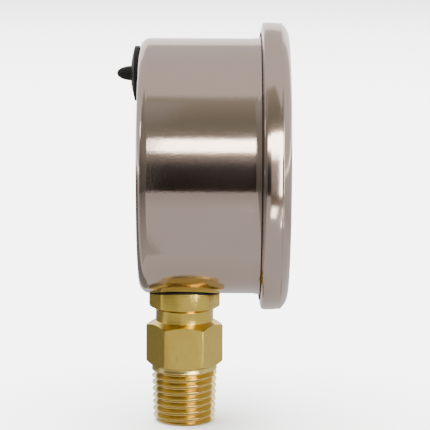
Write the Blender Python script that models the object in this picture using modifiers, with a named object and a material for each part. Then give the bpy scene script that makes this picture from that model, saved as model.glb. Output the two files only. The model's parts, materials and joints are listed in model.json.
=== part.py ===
"""Bottom-connected Bourdon tube pressure gauge, 50 mm dial, 1/4-18 NPT brass stem.

The origin is the centre of the stem's end face, +Z runs up the stem and the dial looks along -Y.
Lengths below are millimetres and angles are degrees. Inside the case, places are given from the
centre of the case: x to the right of the dial, z up, and u forward out of the dial (u = -Y).
"""
import math

import bmesh
import bpy
from mathutils import Matrix, Vector

MM = 0.001

# --- case
CASE_RADIUS = 26.4
CASE_WALL = 0.55
CASE_BACK_DEPTH = 9.23       # from the stem's axis to the outer face of the case back
CASE_CORNER = 2.2            # outside radius of the back corner
FLANGE_WIDTH = 1.8           # how far the flange stands out of the case wall
FLARE_LENGTH = 3.2           # length of wall that curves out into the flange

# --- vent plug in the case back
PLUG_INSET = 7.2             # centre of the plug below the top of the case
PLUG_HOLE_RADIUS = 4.1
PLUG_FLANGE_RADIUS = 5.65
PLUG_RIM = 1.06
PLUG_DOME = 1.75
PLUG_NIPPLE_RADIUS = 1.5
PLUG_LENGTH = 4.8            # from the case back to the tip of the nipple
PLUG_SHANK_LENGTH = 2.4

# --- stem, heights above its end face
THREAD_PITCH = 25.4 / 18
THREAD_DEPTH = 1.129
THREAD_END_RADIUS = 6.515    # over the crests, at the end face
THREAD_TAPER = 1 / 32        # radius gained per length, 1:16 on the diameter
THREAD_LENGTH = 11.3
THREAD_CREST = 0.25          # width of the crest and root flats
THREAD_CHAMFER = 0.7
BAND_RADIUS = 6.9            # plain band between thread and hexagon
BAND_LENGTH = 0.85
HEX_ACROSS_FLATS = 14.0
HEX_LENGTH = 9.35            # chamfers included
HEX_BOTTOM_CHAMFER = 0.6
HEX_TOP_CHAMFER = 1.1
NECK_RADIUS = 6.04
NECK_LENGTH = 2.55
COLLAR_RADIUS = 7.41
COLLAR_LENGTH = 3.63         # from its bottom edge to the lowest point of the case
COLLAR_CHAMFER = 0.75
SPIGOT_RADIUS = 5.95         # the part that passes through the case wall
SADDLE_SEAT_U = 12.0         # half length of the cut that shapes the collar's top
PORT_RADIUS = 2.4
PORT_DEPTH = 8.5
RESTRICTOR_RADIUS = 1.65
RESTRICTOR_LENGTH = 4.5
RESTRICTOR_ORIFICE = 0.3
FEED_RADIUS = 1.2
SEAL_THICKNESS = 0.2         # saddle seal between collar and case
SEAL_OVERHANG = 0.2          # how far the seal stands out of the collar
CLIP_THICKNESS = 1.0
CLIP_GROOVE_DEPTH = 0.75
CLIP_BACK_SPACE = 1.0        # between the clip and the case back

# --- Bourdon tube
TUBE_INSET = 8.4             # centreline of the tube inside the outside of the case
TUBE_ROOT = 268.0            # angle of its fixed end, anticlockwise from +x
TUBE_TIP = -20.0             # angle of its free end
TUBE_WIDTH = 5.6             # along u
TUBE_THICKNESS = 2.2         # radial
TUBE_WALL = 0.35
TIP_ROTATION = 5.74          # how far the free end turns over full scale
TIP_CAP_DEPTH = 2.2
TIP_CAP_RIM = 0.5            # how far the end piece stands out round the tube
BLOCK_WALL = 1.4             # front wall of the block before the tube
BLOCK_HEAD = 5.8             # top of the block above the tube's centreline

# --- movement
MODULE = 0.25
PINION_TEETH = 10
WHEEL_TEETH = 80             # teeth of the full circle that the sector is cut from
ADDENDUM = 0.8               # over the module
DEDENDUM = 1.24              # over the module
PINION_TOOTH_SHARE = 0.7     # tooth width kept for backlash
SECTOR_TOOTH_SHARE = 0.75
PRESSURE_ANGLE = 20.0
POINTER_SWEEP = 270.0
POINTER_REST = 225.0         # angle of the pointer at zero, anticlockwise from +x
SECTOR_PIVOT_ANGLE = -52.9
TAIL_RADIUS = 3.24
LINK_LENGTH = 6.0
LINK_ANGLE = 54.5            # direction of the link at mid scale
REAR_PLATE_THICKNESS = 1.0
FRONT_PLATE_THICKNESS = 0.8
SECTOR_SPACE = 1.1           # between rear plate and sector
SECTOR_THICKNESS = 0.8
PINION_OVERHANG = 0.3        # pinion teeth wider than the sector, each side
LINK_THICKNESS = 0.6
HAIRSPRING_WIDTH = 0.6
HAIRSPRING_SPACE = 0.7       # between hairspring and front plate
ARBOR_RADIUS = 0.6
LINK_PIN_RADIUS = 0.55
LINK_EYE_RADIUS = 1.15
PIN_PROUD = 0.4              # how far the link's pins stand out of it
SECTOR_HUB_RADIUS = 2.0
SECTOR_RIM = 1.6             # rim left under the sector's teeth
PILLAR_RADIUS = 1.2
DIAL_SCREW_PLACES = ((-7.0, -2.2), (7.0, -2.2))
BLOCK_SCREW_SPREAD = 2.3
BLOCK_SCREW_DROP = 2.4       # below the top of the block
PLATE_SCREW_RADIUS = 0.6
SCREW_EDGE = 0.15
BLOCK_SCREW_RADIUS = 0.8
BLOCK_SCREW_REACH = 1.7      # into the block
COLLET_RADIUS = 1.2
HAIRSPRING_OUTER = 4.1
HAIRSPRING_TURNS = 3.5
HAIRSPRING_WALL = 0.12
STUD_ANGLE = 150.0
STUD_SIDE = 0.8

# --- dial and pointer
DIAL_CLEARANCE = 0.65        # between the dial's edge and the case wall
DIAL_THICKNESS = 0.5
DIAL_POST_LENGTH = 2.9
DIAL_HOLE_RADIUS = 2.4
POINTER_SPACE = 1.3          # between dial and pointer
POINTER_THICKNESS = 0.3
POINTER_INSET = 6.7          # pointer's tip inside the dial's edge
POINTER_TAIL = 6.5
POINTER_WIDTH = 1.5
HUB_RADIUS = 2.2
HUB_HEIGHT = 1.0
STOP_PIN_RADIUS = 0.45
STOP_PIN_INSET = 3.5         # inside the pointer's tip
STOP_PIN_HEIGHT = 2.0

# --- bezel and window
BEZEL_STEP = 3.3             # how far the bezel stands out of the case wall
BEZEL_WALL = 0.6
BEZEL_ROUND = 4.0            # radius of the front corner, which meets the side in a blunt edge
BEZEL_LIP_OVERLAP = 1.4      # the lip's opening is this much smaller than the case
BEZEL_RIM_OVERHANG = 1.0     # rear rim of the bezel behind the flange
CRIMP_WIDTH = 1.9            # how far the rear edge is turned in behind the flange
CRIMP_LEAN = 0.3             # how far the turned-in edge stands back from the rim
GASKET_LEG = 0.5             # rubber thickness in front of and behind the flange
GASKET_BEAD = 0.15           # how far the rubber stands out behind the crimp
GASKET_SEAT = 0.8            # how far outside the case wall the window's seat begins
WINDOW_SPACE = 3.15          # from the dial's face to the rear of the case's flange
WINDOW_THICKNESS = 2.5
WINDOW_CHAMFER = 1.3
WINDOW_CHAMFER_WIDTH = 2.5
WINDOW_CLEARANCE = 0.6       # between the window's edge and the bezel

# --- fits
GAP = 0.1                    # between pieces that touch
PIVOT_GAP = 0.12             # round a turning arbor or pin
OPEN_PIVOT_GAP = 0.16        # round the pin where the linkage's loop is opened
HOLE_GAP = 0.2               # round the stem in the case wall
MOVING_GAP = 0.2             # between levels of the movement that slide past each other

# --- fineness of round pieces
RING_STEPS = 48
STEM_STEPS = 36
SMALL_STEPS = 16
THREAD_STEPS = 24
TUBE_STEPS = 30

# --- what follows from the sizes above
CASE_BACK_U = -CASE_BACK_DEPTH
PLUG_HEIGHT = CASE_RADIUS - PLUG_INSET
HEX_BOTTOM = THREAD_LENGTH + BAND_LENGTH
HEX_TOP = HEX_BOTTOM + HEX_LENGTH
COLLAR_BOTTOM = HEX_TOP + NECK_LENGTH
STEM_REACH = COLLAR_BOTTOM + COLLAR_LENGTH
CASE_HEIGHT = STEM_REACH + CASE_RADIUS
HEX_CORNER_RADIUS = HEX_ACROSS_FLATS / 2 / math.cos(math.radians(30))
CLIP_GROOVE_RADIUS = SPIGOT_RADIUS - CLIP_GROOVE_DEPTH
CLIP_REACH = CASE_BACK_DEPTH - CASE_WALL - CLIP_BACK_SPACE
CLIP_Z = CLIP_THICKNESS / 2 + 3 * GAP - math.sqrt((CASE_RADIUS - CASE_WALL) ** 2 - CLIP_REACH ** 2)
TUBE_RADIUS = CASE_RADIUS - TUBE_INSET


def levels(rear, thickness):
    """Rear and front of a flat piece along u."""
    return rear, rear + thickness


LUG_U = levels(TUBE_WIDTH / 2 + 0.5, 1.0)
BLOCK_FRONT_U = TUBE_WIDTH / 2 + BLOCK_WALL
REAR_PLATE_U = levels(BLOCK_FRONT_U + 2 * GAP, REAR_PLATE_THICKNESS)
SECTOR_U = levels(REAR_PLATE_U[1] + SECTOR_SPACE, SECTOR_THICKNESS)
PINION_U = (SECTOR_U[0] - PINION_OVERHANG, SECTOR_U[1] + PINION_OVERHANG)
LINK_U = levels(SECTOR_U[1] + MOVING_GAP, LINK_THICKNESS)
HAIRSPRING_U = levels(LINK_U[1] + GAP, HAIRSPRING_WIDTH)
FRONT_PLATE_U = levels(HAIRSPRING_U[1] + HAIRSPRING_SPACE, FRONT_PLATE_THICKNESS)
DIAL_U = levels(FRONT_PLATE_U[1] + DIAL_POST_LENGTH, DIAL_THICKNESS)
POINTER_U = levels(DIAL_U[1] + POINTER_SPACE, POINTER_THICKNESS)
FLANGE_U = DIAL_U[1] + WINDOW_SPACE
WINDOW_REAR_U = FLANGE_U + CASE_WALL + GASKET_LEG + 2 * GAP
BEZEL_RADIUS = CASE_RADIUS + BEZEL_STEP
BEZEL_LIP_RADIUS = CASE_RADIUS - BEZEL_LIP_OVERLAP
BEZEL_RIM_U = FLANGE_U - BEZEL_RIM_OVERHANG
BEZEL_FRONT_U = WINDOW_REAR_U + WINDOW_THICKNESS + GAP + BEZEL_WALL
DIAL_RADIUS = CASE_RADIUS - CASE_WALL - DIAL_CLEARANCE
POINTER_LENGTH = DIAL_RADIUS - POINTER_INSET
STOP_PIN_REACH = POINTER_LENGTH - STOP_PIN_INSET
BLOCK_TOP = BLOCK_HEAD - TUBE_RADIUS
BLOCK_SCREW_Z = BLOCK_TOP - BLOCK_SCREW_DROP
BLOCK_SCREW_PLACES = ((-BLOCK_SCREW_SPREAD, BLOCK_SCREW_Z), (BLOCK_SCREW_SPREAD, BLOCK_SCREW_Z))

STAINLESS = ("stainless", (0.56, 0.53, 0.51), 0.22, 1.0)
BRASS = ("brass", (0.71, 0.55, 0.27), 0.26, 1.0)
BRONZE = ("bronze", (0.60, 0.38, 0.20), 0.32, 1.0)
RUBBER = ("black_rubber", (0.02, 0.02, 0.02), 0.65, 0.0)
CLEAR = ("clear_polycarbonate", (0.90, 0.93, 0.94), 0.05, 0.0)
WHITE = ("white_dial", (0.88, 0.88, 0.86), 0.45, 0.0)
BLACK = ("black_paint", (0.02, 0.02, 0.02), 0.40, 0.0)
STEEL = ("plated_steel", (0.50, 0.50, 0.50), 0.30, 1.0)


def polar(radius, angle, centre=(0.0, 0.0)):
    """Point at a radius and an angle in degrees from a centre."""
    turn = math.radians(angle)
    return centre[0] + radius * math.cos(turn), centre[1] + radius * math.sin(turn)


def arc(centre, radius, start, end, steps):
    """Points of an arc, both ends included."""
    return [polar(radius, start + (end - start) * i / steps, centre) for i in range(steps + 1)]


def circle(centre, radius, steps=SMALL_STEPS):
    """Points of a closed circle."""
    return [polar(radius, 360 * i / steps, centre) for i in range(steps)]


def rounded(corners, radius, steps=3):
    """Closed outline with each corner replaced by a short curve."""
    outline = []
    for index, corner in enumerate(corners):
        here = Vector(corner)
        before = here + (Vector(corners[index - 1]) - here).normalized() * radius
        after = here + (Vector(corners[(index + 1) % len(corners)]) - here).normalized() * radius
        for i in range(steps + 1):
            t = i / steps
            point = before * (1 - t) ** 2 + here * (2 * t * (1 - t)) + after * t ** 2
            outline.append((point.x, point.y))
    return outline


def slot_outline(start, end, radius, steps=8):
    """Closed outline of a bar with round ends."""
    angle = math.degrees(math.atan2(end[1] - start[1], end[0] - start[0]))
    outline = arc(start, radius, angle + 90, angle + 270, steps)
    return outline + arc(end, radius, angle - 90, angle + 90, steps)


def clear_scene():
    for old in list(bpy.data.objects):
        bpy.data.objects.remove(old, do_unlink=True)


def make_collection(name):
    collection = bpy.data.collections.new(name)
    bpy.context.scene.collection.children.link(collection)
    return collection


clear_scene()
PARTS = make_collection("pressure_gauge")
CUTTERS = make_collection("cutters")


def material(look):
    """Principled material of a look, made once."""
    name, colour, roughness, metallic = look
    made = bpy.data.materials.get(name)
    if made is None:
        made = bpy.data.materials.new(name)
        made.use_nodes = True
        shader = made.node_tree.nodes["Principled BSDF"]
        shader.inputs["Base Color"].default_value = (*colour, 1.0)
        shader.inputs["Roughness"].default_value = roughness
        shader.inputs["Metallic"].default_value = metallic
    return made


def add_object(name, data, look):
    """Link new data as a part, or as a cutter where it has no look."""
    made = bpy.data.objects.new(name, data)
    if look is None:
        CUTTERS.objects.link(made)
        made.hide_render = True
        made.display_type = "WIRE"
    else:
        PARTS.objects.link(made)
        data.materials.append(material(look))
    return made


def face_front(made, x=0.0, z=0.0, u=0.0):
    """Turn a piece built along local Z to look out of the dial, at a place in the case."""
    made.rotation_euler = (math.pi / 2, 0.0, 0.0)
    made.location = (x * MM, -u * MM, (CASE_HEIGHT + z) * MM)
    return made


def stand_up(made, z=0.0):
    """Leave a piece built along local Z upright, z above the stem's end face."""
    made.location = (0.0, 0.0, z * MM)
    return made


def turned(name, profile, look, steps=RING_STEPS, ring=False):
    """Solid of revolution from (radius, height) points that run down its outer side."""
    mesh = bpy.data.meshes.new(name)
    bm = bmesh.new()
    verts = [bm.verts.new((radius * MM, 0.0, height * MM)) for radius, height in profile]
    for start, end in zip(verts, verts[1:]):
        bm.edges.new((start, end))
    if ring:
        bm.edges.new((verts[-1], verts[0]))
    bm.to_mesh(mesh)
    bm.free()
    made = add_object(name, mesh, look)
    screw = made.modifiers.new("turn", "SCREW")
    screw.steps = steps
    screw.render_steps = steps
    screw.use_merge_vertices = True
    screw.merge_threshold = 0.000001
    screw.use_smooth_shade = True
    return made


def rod(name, radius, length, look, steps=SMALL_STEPS):
    """Plain cylinder from local z = 0 to its length."""
    mesh = bpy.data.meshes.new(name)
    bm = bmesh.new()
    bmesh.ops.create_cone(bm, cap_ends=True, segments=steps, radius1=radius * MM, radius2=radius * MM,
                          depth=length * MM, matrix=Matrix.Translation((0, 0, length * MM / 2)))
    bm.to_mesh(mesh)
    bm.free()
    mesh.shade_smooth()
    mesh.set_sharp_from_angle(angle=math.radians(40))
    return add_object(name, mesh, look)


def box(name, size, look):
    """Box centred on its origin."""
    mesh = bpy.data.meshes.new(name)
    bm = bmesh.new()
    bmesh.ops.create_cube(bm, size=MM, matrix=Matrix.Diagonal((*size, 1.0)))
    bm.to_mesh(mesh)
    bm.free()
    return add_object(name, mesh, look)


def sheet(name, outlines, thickness, look):
    """Flat piece from closed outlines, the first its edge and the others its holes."""
    curve = bpy.data.curves.new(name, "CURVE")
    curve.dimensions = "2D"
    curve.fill_mode = "BOTH"
    curve.extrude = thickness * MM / 2
    for outline in outlines:
        spline = curve.splines.new("POLY")
        spline.points.add(len(outline) - 1)
        for point, (x, z) in zip(spline.points, outline):
            point.co = (x * MM, z * MM, 0.0, 1.0)
        spline.use_cyclic_u = True
    return add_object(name, curve, look)


def sheet_between(name, outlines, span, look):
    """Flat piece facing the dial's way between two values of u."""
    made = sheet(name, outlines, span[1] - span[0], look)
    return face_front(made, u=(span[0] + span[1]) / 2)


def as_mesh(made, look):
    """Swap a curve object for the same closed mesh, so that it can be cut or joined."""
    bpy.context.view_layer.update()
    name = made.name
    evaluated = made.evaluated_get(bpy.context.evaluated_depsgraph_get())
    mesh = bpy.data.meshes.new_from_object(evaluated)
    matrix = made.matrix_world.copy()
    bpy.data.objects.remove(made, do_unlink=True)
    bm = bmesh.new()
    bm.from_mesh(mesh)
    bmesh.ops.remove_doubles(bm, verts=bm.verts, dist=0.000001)
    bmesh.ops.recalc_face_normals(bm, faces=bm.faces)
    bm.to_mesh(mesh)
    bm.free()
    mesh.materials.clear()
    swapped = add_object(name, mesh, look)
    swapped.name = name
    swapped.matrix_world = matrix
    return swapped


def boolean(target, other, operation="DIFFERENCE"):
    """Cut, join or trim a piece with another one, exactly."""
    modifier = target.modifiers.new(other.name, "BOOLEAN")
    modifier.operation = operation
    modifier.object = other
    modifier.solver = "EXACT"
    return target


def make_body(name, x=0.0, z=0.0):
    """Empty on a joint's axis that carries the pieces that turn with it."""
    carrier = bpy.data.objects.new(name, None)
    PARTS.objects.link(carrier)
    carrier.location = (x * MM, 0.0, (CASE_HEIGHT + z) * MM)
    return carrier


def carry(carrier, *pieces):
    """Parent pieces to a carrier without moving them."""
    bpy.context.view_layer.update()
    for piece in pieces:
        piece.parent = carrier
        piece.matrix_parent_inverse = carrier.matrix_world.inverted()


def slotted_screw(name, head_radius, head_height, shank_radius, shank_length, look=STEEL):
    """Cheese-head screw with its head's underside at local z = 0 and its head forward."""
    profile = [(0, head_height), (head_radius - SCREW_EDGE, head_height),
               (head_radius, head_height - SCREW_EDGE), (head_radius, 0), (shank_radius, 0),
               (shank_radius, -shank_length), (0, -shank_length)]
    screw = turned(name, profile, look, steps=SMALL_STEPS)
    slot = box(name + "_slot", (head_radius * 3, head_radius * 0.3, head_height), None)
    return screw, slot, head_height


def place_screw(parts, x, z, u, turn):
    """Stand a slotted screw on a face at u, its slot at an angle, and cut the slot."""
    screw, slot, head_height = parts
    face_front(screw, x, z, u)
    face_front(slot, x, z, u + head_height)
    slot.rotation_euler = (math.pi / 2, math.radians(turn), 0.0)
    return boolean(screw, slot)


# ---------------------------------------------------------------- linkage, all places at zero pressure
CENTRE_DISTANCE = MODULE * (PINION_TEETH + WHEEL_TEETH) / 2
SECTOR_SWING = POINTER_SWEEP * PINION_TEETH / WHEEL_TEETH
SECTOR_PIVOT = polar(CENTRE_DISTANCE, SECTOR_PIVOT_ANGLE)
TAIL_MID_ANGLE = LINK_ANGLE - 90
TAIL_PIN = polar(TAIL_RADIUS, TAIL_MID_ANGLE - SECTOR_SWING / 2, SECTOR_PIVOT)
TIP_STROKE = 2 * TAIL_RADIUS * math.sin(math.radians(SECTOR_SWING / 2))
TIP_ARM = TIP_STROKE / (2 * math.sin(math.radians(TIP_ROTATION / 2)))
TIP_PIN_MID = polar(LINK_LENGTH, LINK_ANGLE, polar(TAIL_RADIUS, TAIL_MID_ANGLE, SECTOR_PIVOT))
TIP_POLE = polar(-TIP_ARM, TAIL_MID_ANGLE, TIP_PIN_MID)
TIP_PIN = polar(TIP_ARM, TAIL_MID_ANGLE - TIP_ROTATION / 2, TIP_POLE)
RIGHT_PILLAR = polar(MODULE * WHEEL_TEETH / 2 + 1.9, 73.3, SECTOR_PIVOT)
PILLAR_PLACES = ((-7.6, 3.6), (-7.2, SECTOR_PIVOT[1] - 0.2), RIGHT_PILLAR)


# ---------------------------------------------------------------- case
def flare(inward, start, end):
    """Curve from the case wall out to the flange, or one that lies inward of it in the section."""
    radial, axial = FLANGE_WIDTH - GAP + inward, FLARE_LENGTH + inward
    centre = (CASE_RADIUS + FLANGE_WIDTH - GAP, FLANGE_U - FLARE_LENGTH)
    return [(centre[0] - x * radial, centre[1] + y * axial) for x, y in arc((0, 0), 1, start, end, 5)]


def case_profile():
    """Drawn cup that flares into a flange, from the flange round the outside and back inside."""
    wall = CASE_WALL
    outer = CASE_RADIUS
    corner = (outer - CASE_CORNER, CASE_BACK_U + CASE_CORNER)
    flange = outer + FLANGE_WIDTH
    profile = [(flange, FLANGE_U + wall), (flange, FLANGE_U)]
    profile += flare(0, 90, 0)
    profile += arc(corner, CASE_CORNER, 0, -90, 4)
    profile += [(0, CASE_BACK_U), (0, CASE_BACK_U + wall)]
    profile += arc(corner, CASE_CORNER - wall, -90, 0, 4)
    profile += flare(wall, 0, 90)
    return profile


def make_case():
    shell = face_front(turned("case_shell", case_profile(), STAINLESS, ring=True))
    through = CASE_CORNER + CASE_WALL
    stem_hole = stand_up(rod("stem_hole", SPIGOT_RADIUS + HOLE_GAP, 2 * through, None, STEM_STEPS),
                         STEM_REACH - CASE_WALL)
    plug_hole = face_front(rod("plug_hole", PLUG_HOLE_RADIUS, 2 * through, None, STEM_STEPS),
                           z=PLUG_HEIGHT, u=CASE_BACK_U - through)
    boolean(shell, stem_hole)
    boolean(shell, plug_hole)


def bezel_profile():
    """Crimp ring: rounded front corner, straight side and a rear edge turned in behind the flange."""
    outer, wall = BEZEL_RADIUS, BEZEL_WALL
    crimp_end = outer - CRIMP_WIDTH
    edge = wall / 4
    centre = (CASE_RADIUS, BEZEL_FRONT_U - BEZEL_ROUND)

    def side_angle(side, radius):
        return math.degrees(math.acos((side - centre[0]) / radius))

    inner = BEZEL_ROUND - wall
    profile = [(BEZEL_LIP_RADIUS, BEZEL_FRONT_U - wall), (BEZEL_LIP_RADIUS, BEZEL_FRONT_U - edge),
               (BEZEL_LIP_RADIUS + edge, BEZEL_FRONT_U)]
    profile += arc(centre, BEZEL_ROUND, 90, side_angle(outer, BEZEL_ROUND), 5)
    profile += [(outer, BEZEL_RIM_U + 3 * edge), (outer - edge, BEZEL_RIM_U + edge),
                (outer - 3 * edge, BEZEL_RIM_U)]
    profile += [(crimp_end, BEZEL_RIM_U - CRIMP_LEAN), (crimp_end, BEZEL_RIM_U - CRIMP_LEAN + wall)]
    profile += [(outer - wall, BEZEL_RIM_U + wall)]
    profile += arc(centre, inner, side_angle(outer - wall, inner), 90, 5)
    return profile


def gasket_profile():
    """Rubber channel that wraps the flange, with a bead that shows behind the crimp."""
    over_flange = CASE_RADIUS + FLANGE_WIDTH + GAP
    outer = BEZEL_RADIUS - BEZEL_WALL - GAP
    inside_crimp = BEZEL_RADIUS - CRIMP_WIDTH - GAP
    seat = CASE_RADIUS + GASKET_SEAT
    seat_rear = FLANGE_U + CASE_WALL + GAP
    crimp_rear = BEZEL_RIM_U - CRIMP_LEAN
    bead = crimp_rear - GASKET_BEAD
    on_flare = math.degrees(math.asin((crimp_rear - FLANGE_U + FLARE_LENGTH) / (FLARE_LENGTH - GAP)))
    profile = [(seat, seat_rear + GASKET_LEG), (outer, seat_rear + GASKET_LEG),
               (outer, BEZEL_RIM_U + BEZEL_WALL + GAP), (inside_crimp, crimp_rear + BEZEL_WALL + GAP),
               (inside_crimp, crimp_rear), ((inside_crimp + seat) / 2, bead)]
    profile += flare(-GAP, on_flare, 90)
    profile += [(over_flange, FLANGE_U - GAP), (over_flange, seat_rear), (seat, seat_rear)]
    return profile


def window_profile():
    """Clear disc with a chamfered front edge that follows the bezel's corner."""
    rear = WINDOW_REAR_U
    front = rear + WINDOW_THICKNESS
    outer = BEZEL_RADIUS - BEZEL_WALL - WINDOW_CLEARANCE
    shoulder = outer - WINDOW_CHAMFER_WIDTH
    return [(0, front), (shoulder, front), (outer, front - WINDOW_CHAMFER), (outer, rear), (0, rear)]


def make_front():
    face_front(turned("bezel_ring", bezel_profile(), STAINLESS, ring=True))
    face_front(turned("window_gasket", gasket_profile(), RUBBER, ring=True))
    face_front(turned("window", window_profile(), CLEAR))


def make_plug():
    """Rubber vent plug: domed flange on the case back, nipple behind it and shank in the hole."""
    face = CASE_BACK_DEPTH + GAP
    rim, dome, tip = face + PLUG_RIM, face + PLUG_DOME, CASE_BACK_DEPTH + PLUG_LENGTH
    nipple = PLUG_NIPPLE_RADIUS
    shank = PLUG_HOLE_RADIUS - GAP
    profile = [(0, tip)]
    profile += [(nipple * math.sin(turn), tip - (tip - dome) * (1 - math.cos(turn)))
                for turn in (math.radians(20 * i) for i in range(1, 5))]
    edge = PLUG_RIM / 4
    profile += [(nipple, dome), (PLUG_FLANGE_RADIUS * 0.6, (rim + dome * 2) / 3),
                (PLUG_FLANGE_RADIUS - edge, rim), (PLUG_FLANGE_RADIUS, rim - edge),
                (PLUG_FLANGE_RADIUS, face), (shank, face),
                (shank, face - CASE_WALL - GAP), (shank - CASE_WALL, face - PLUG_SHANK_LENGTH),
                (0, face - PLUG_SHANK_LENGTH)]
    plug = turned("vent_plug", profile, RUBBER, steps=SMALL_STEPS * 2)
    plug.rotation_euler = (-math.pi / 2, 0.0, 0.0)
    plug.location = (0.0, 0.0, (CASE_HEIGHT + PLUG_HEIGHT) * MM)


# ---------------------------------------------------------------- stem
def thread_stock():
    """Right-hand taper thread, made by sweeping one pitch after another round the axis."""
    pitch, depth, crest = THREAD_PITCH, THREAD_DEPTH, THREAD_CREST
    flank = (pitch - 2 * crest) / 2
    points = []
    for turn in range(-2, int(THREAD_LENGTH / pitch) + 3):
        base = turn * pitch
        points += [(THREAD_END_RADIUS - depth, base), (THREAD_END_RADIUS - depth, base + crest),
                   (THREAD_END_RADIUS, base + crest + flank), (THREAD_END_RADIUS, base + 2 * crest + flank)]
    bm = bmesh.new()
    verts = [bm.verts.new((radius * MM, 0.0, height * MM)) for radius, height in points]
    edges = [bm.edges.new(pair) for pair in zip(verts, verts[1:])]
    bmesh.ops.spin(bm, geom=verts + edges, cent=(0, 0, 0), axis=(0, 0, 1), angle=2 * math.pi,
                   dvec=(0, 0, pitch * MM / THREAD_STEPS), steps=THREAD_STEPS)
    bmesh.ops.remove_doubles(bm, verts=bm.verts, dist=0.000002)
    for vert in bm.verts:
        radius = math.hypot(vert.co.x, vert.co.y)
        wider = (radius + vert.co.z * THREAD_TAPER) / radius
        vert.co.x *= wider
        vert.co.y *= wider
    for height, normal in ((0.0, -1), (THREAD_LENGTH + pitch / 2, 1)):
        everything = bm.verts[:] + bm.edges[:] + bm.faces[:]
        cut = bmesh.ops.bisect_plane(bm, geom=everything, dist=0.0000005, plane_co=(0, 0, height * MM),
                                     plane_no=(0, 0, normal), clear_outer=True)
        rim = [edge for edge in cut["geom_cut"] if isinstance(edge, bmesh.types.BMEdge)]
        bmesh.ops.contextual_create(bm, geom=rim)
    bmesh.ops.recalc_face_normals(bm, faces=bm.faces)
    mesh = bpy.data.meshes.new("thread_stock")
    bm.to_mesh(mesh)
    bm.free()
    return add_object("thread_stock", mesh, None)


def hex_stock():
    """Hexagon bar that the rest of the stem is turned from, with flats facing +X and -X."""
    bar = rod("hex_stock", HEX_CORNER_RADIUS, CASE_HEIGHT - THREAD_LENGTH, None, 6)
    return stand_up(bar, THREAD_LENGTH)


def stem_profile():
    """Turned outline of the stem, from the block inside the case down to the end face."""
    block_top = CASE_HEIGHT + BLOCK_TOP
    saddle_top = CASE_HEIGHT - math.sqrt(CASE_RADIUS ** 2 - COLLAR_RADIUS ** 2)
    over_thread = THREAD_END_RADIUS + THREAD_LENGTH * THREAD_TAPER + 2 * GAP
    return [(0, block_top), (SPIGOT_RADIUS, block_top), (SPIGOT_RADIUS, saddle_top),
            (COLLAR_RADIUS, saddle_top), (COLLAR_RADIUS, COLLAR_BOTTOM + COLLAR_CHAMFER),
            (NECK_RADIUS, COLLAR_BOTTOM), (NECK_RADIUS, HEX_TOP),
            (HEX_CORNER_RADIUS, HEX_TOP - HEX_TOP_CHAMFER),
            (HEX_CORNER_RADIUS, HEX_BOTTOM + HEX_BOTTOM_CHAMFER), (BAND_RADIUS, HEX_BOTTOM),
            (BAND_RADIUS, THREAD_LENGTH - GAP), (over_thread, THREAD_LENGTH - 2 * GAP),
            (over_thread, THREAD_CHAMFER + 3 * GAP), (THREAD_END_RADIUS - THREAD_CHAMFER, 0), (0, 0)]


def collar_saddle():
    """Space under the case that the collar's top follows, with room for the seal."""
    seat = CASE_RADIUS + SEAL_THICKNESS + 2 * GAP
    side = SADDLE_SEAT_U
    cutter = face_front(turned("collar_saddle", [(0, side), (seat, side), (seat, -side), (0, -side)], None))
    core = rod("collar_saddle_core", SPIGOT_RADIUS + GAP, CASE_RADIUS * 2, None, STEM_STEPS)
    return boolean(cutter, stand_up(core, STEM_REACH - CASE_RADIUS))


def tube_pocket():
    """Arc-shaped pocket in the block that the tube's root is soldered into."""
    half = TUBE_THICKNESS / 2 + GAP
    depth = TUBE_WIDTH / 2 + GAP
    end_room = math.degrees(5 * GAP / TUBE_RADIUS)
    corners = [(TUBE_RADIUS - half, -depth), (TUBE_RADIUS + half, -depth), (TUBE_RADIUS + half, depth),
               (TUBE_RADIUS - half, depth)]
    mesh = bpy.data.meshes.new("tube_pocket")
    bm = bmesh.new()
    verts = [bm.verts.new((radius * MM, 0.0, height * MM)) for radius, height in corners]
    face = bm.faces.new(verts)
    root = math.radians(TUBE_ROOT + end_room)
    bmesh.ops.rotate(bm, verts=bm.verts, cent=(0, 0, 0), matrix=Matrix.Rotation(root, 3, "Z"))
    bmesh.ops.spin(bm, geom=[face] + face.edges[:] + face.verts[:], cent=(0, 0, 0), axis=(0, 0, 1),
                   angle=-2 * SPIGOT_RADIUS / TUBE_RADIUS, steps=8)
    bmesh.ops.recalc_face_normals(bm, faces=bm.faces)
    bm.to_mesh(mesh)
    bm.free()
    return face_front(add_object("tube_pocket", mesh, None))


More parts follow.
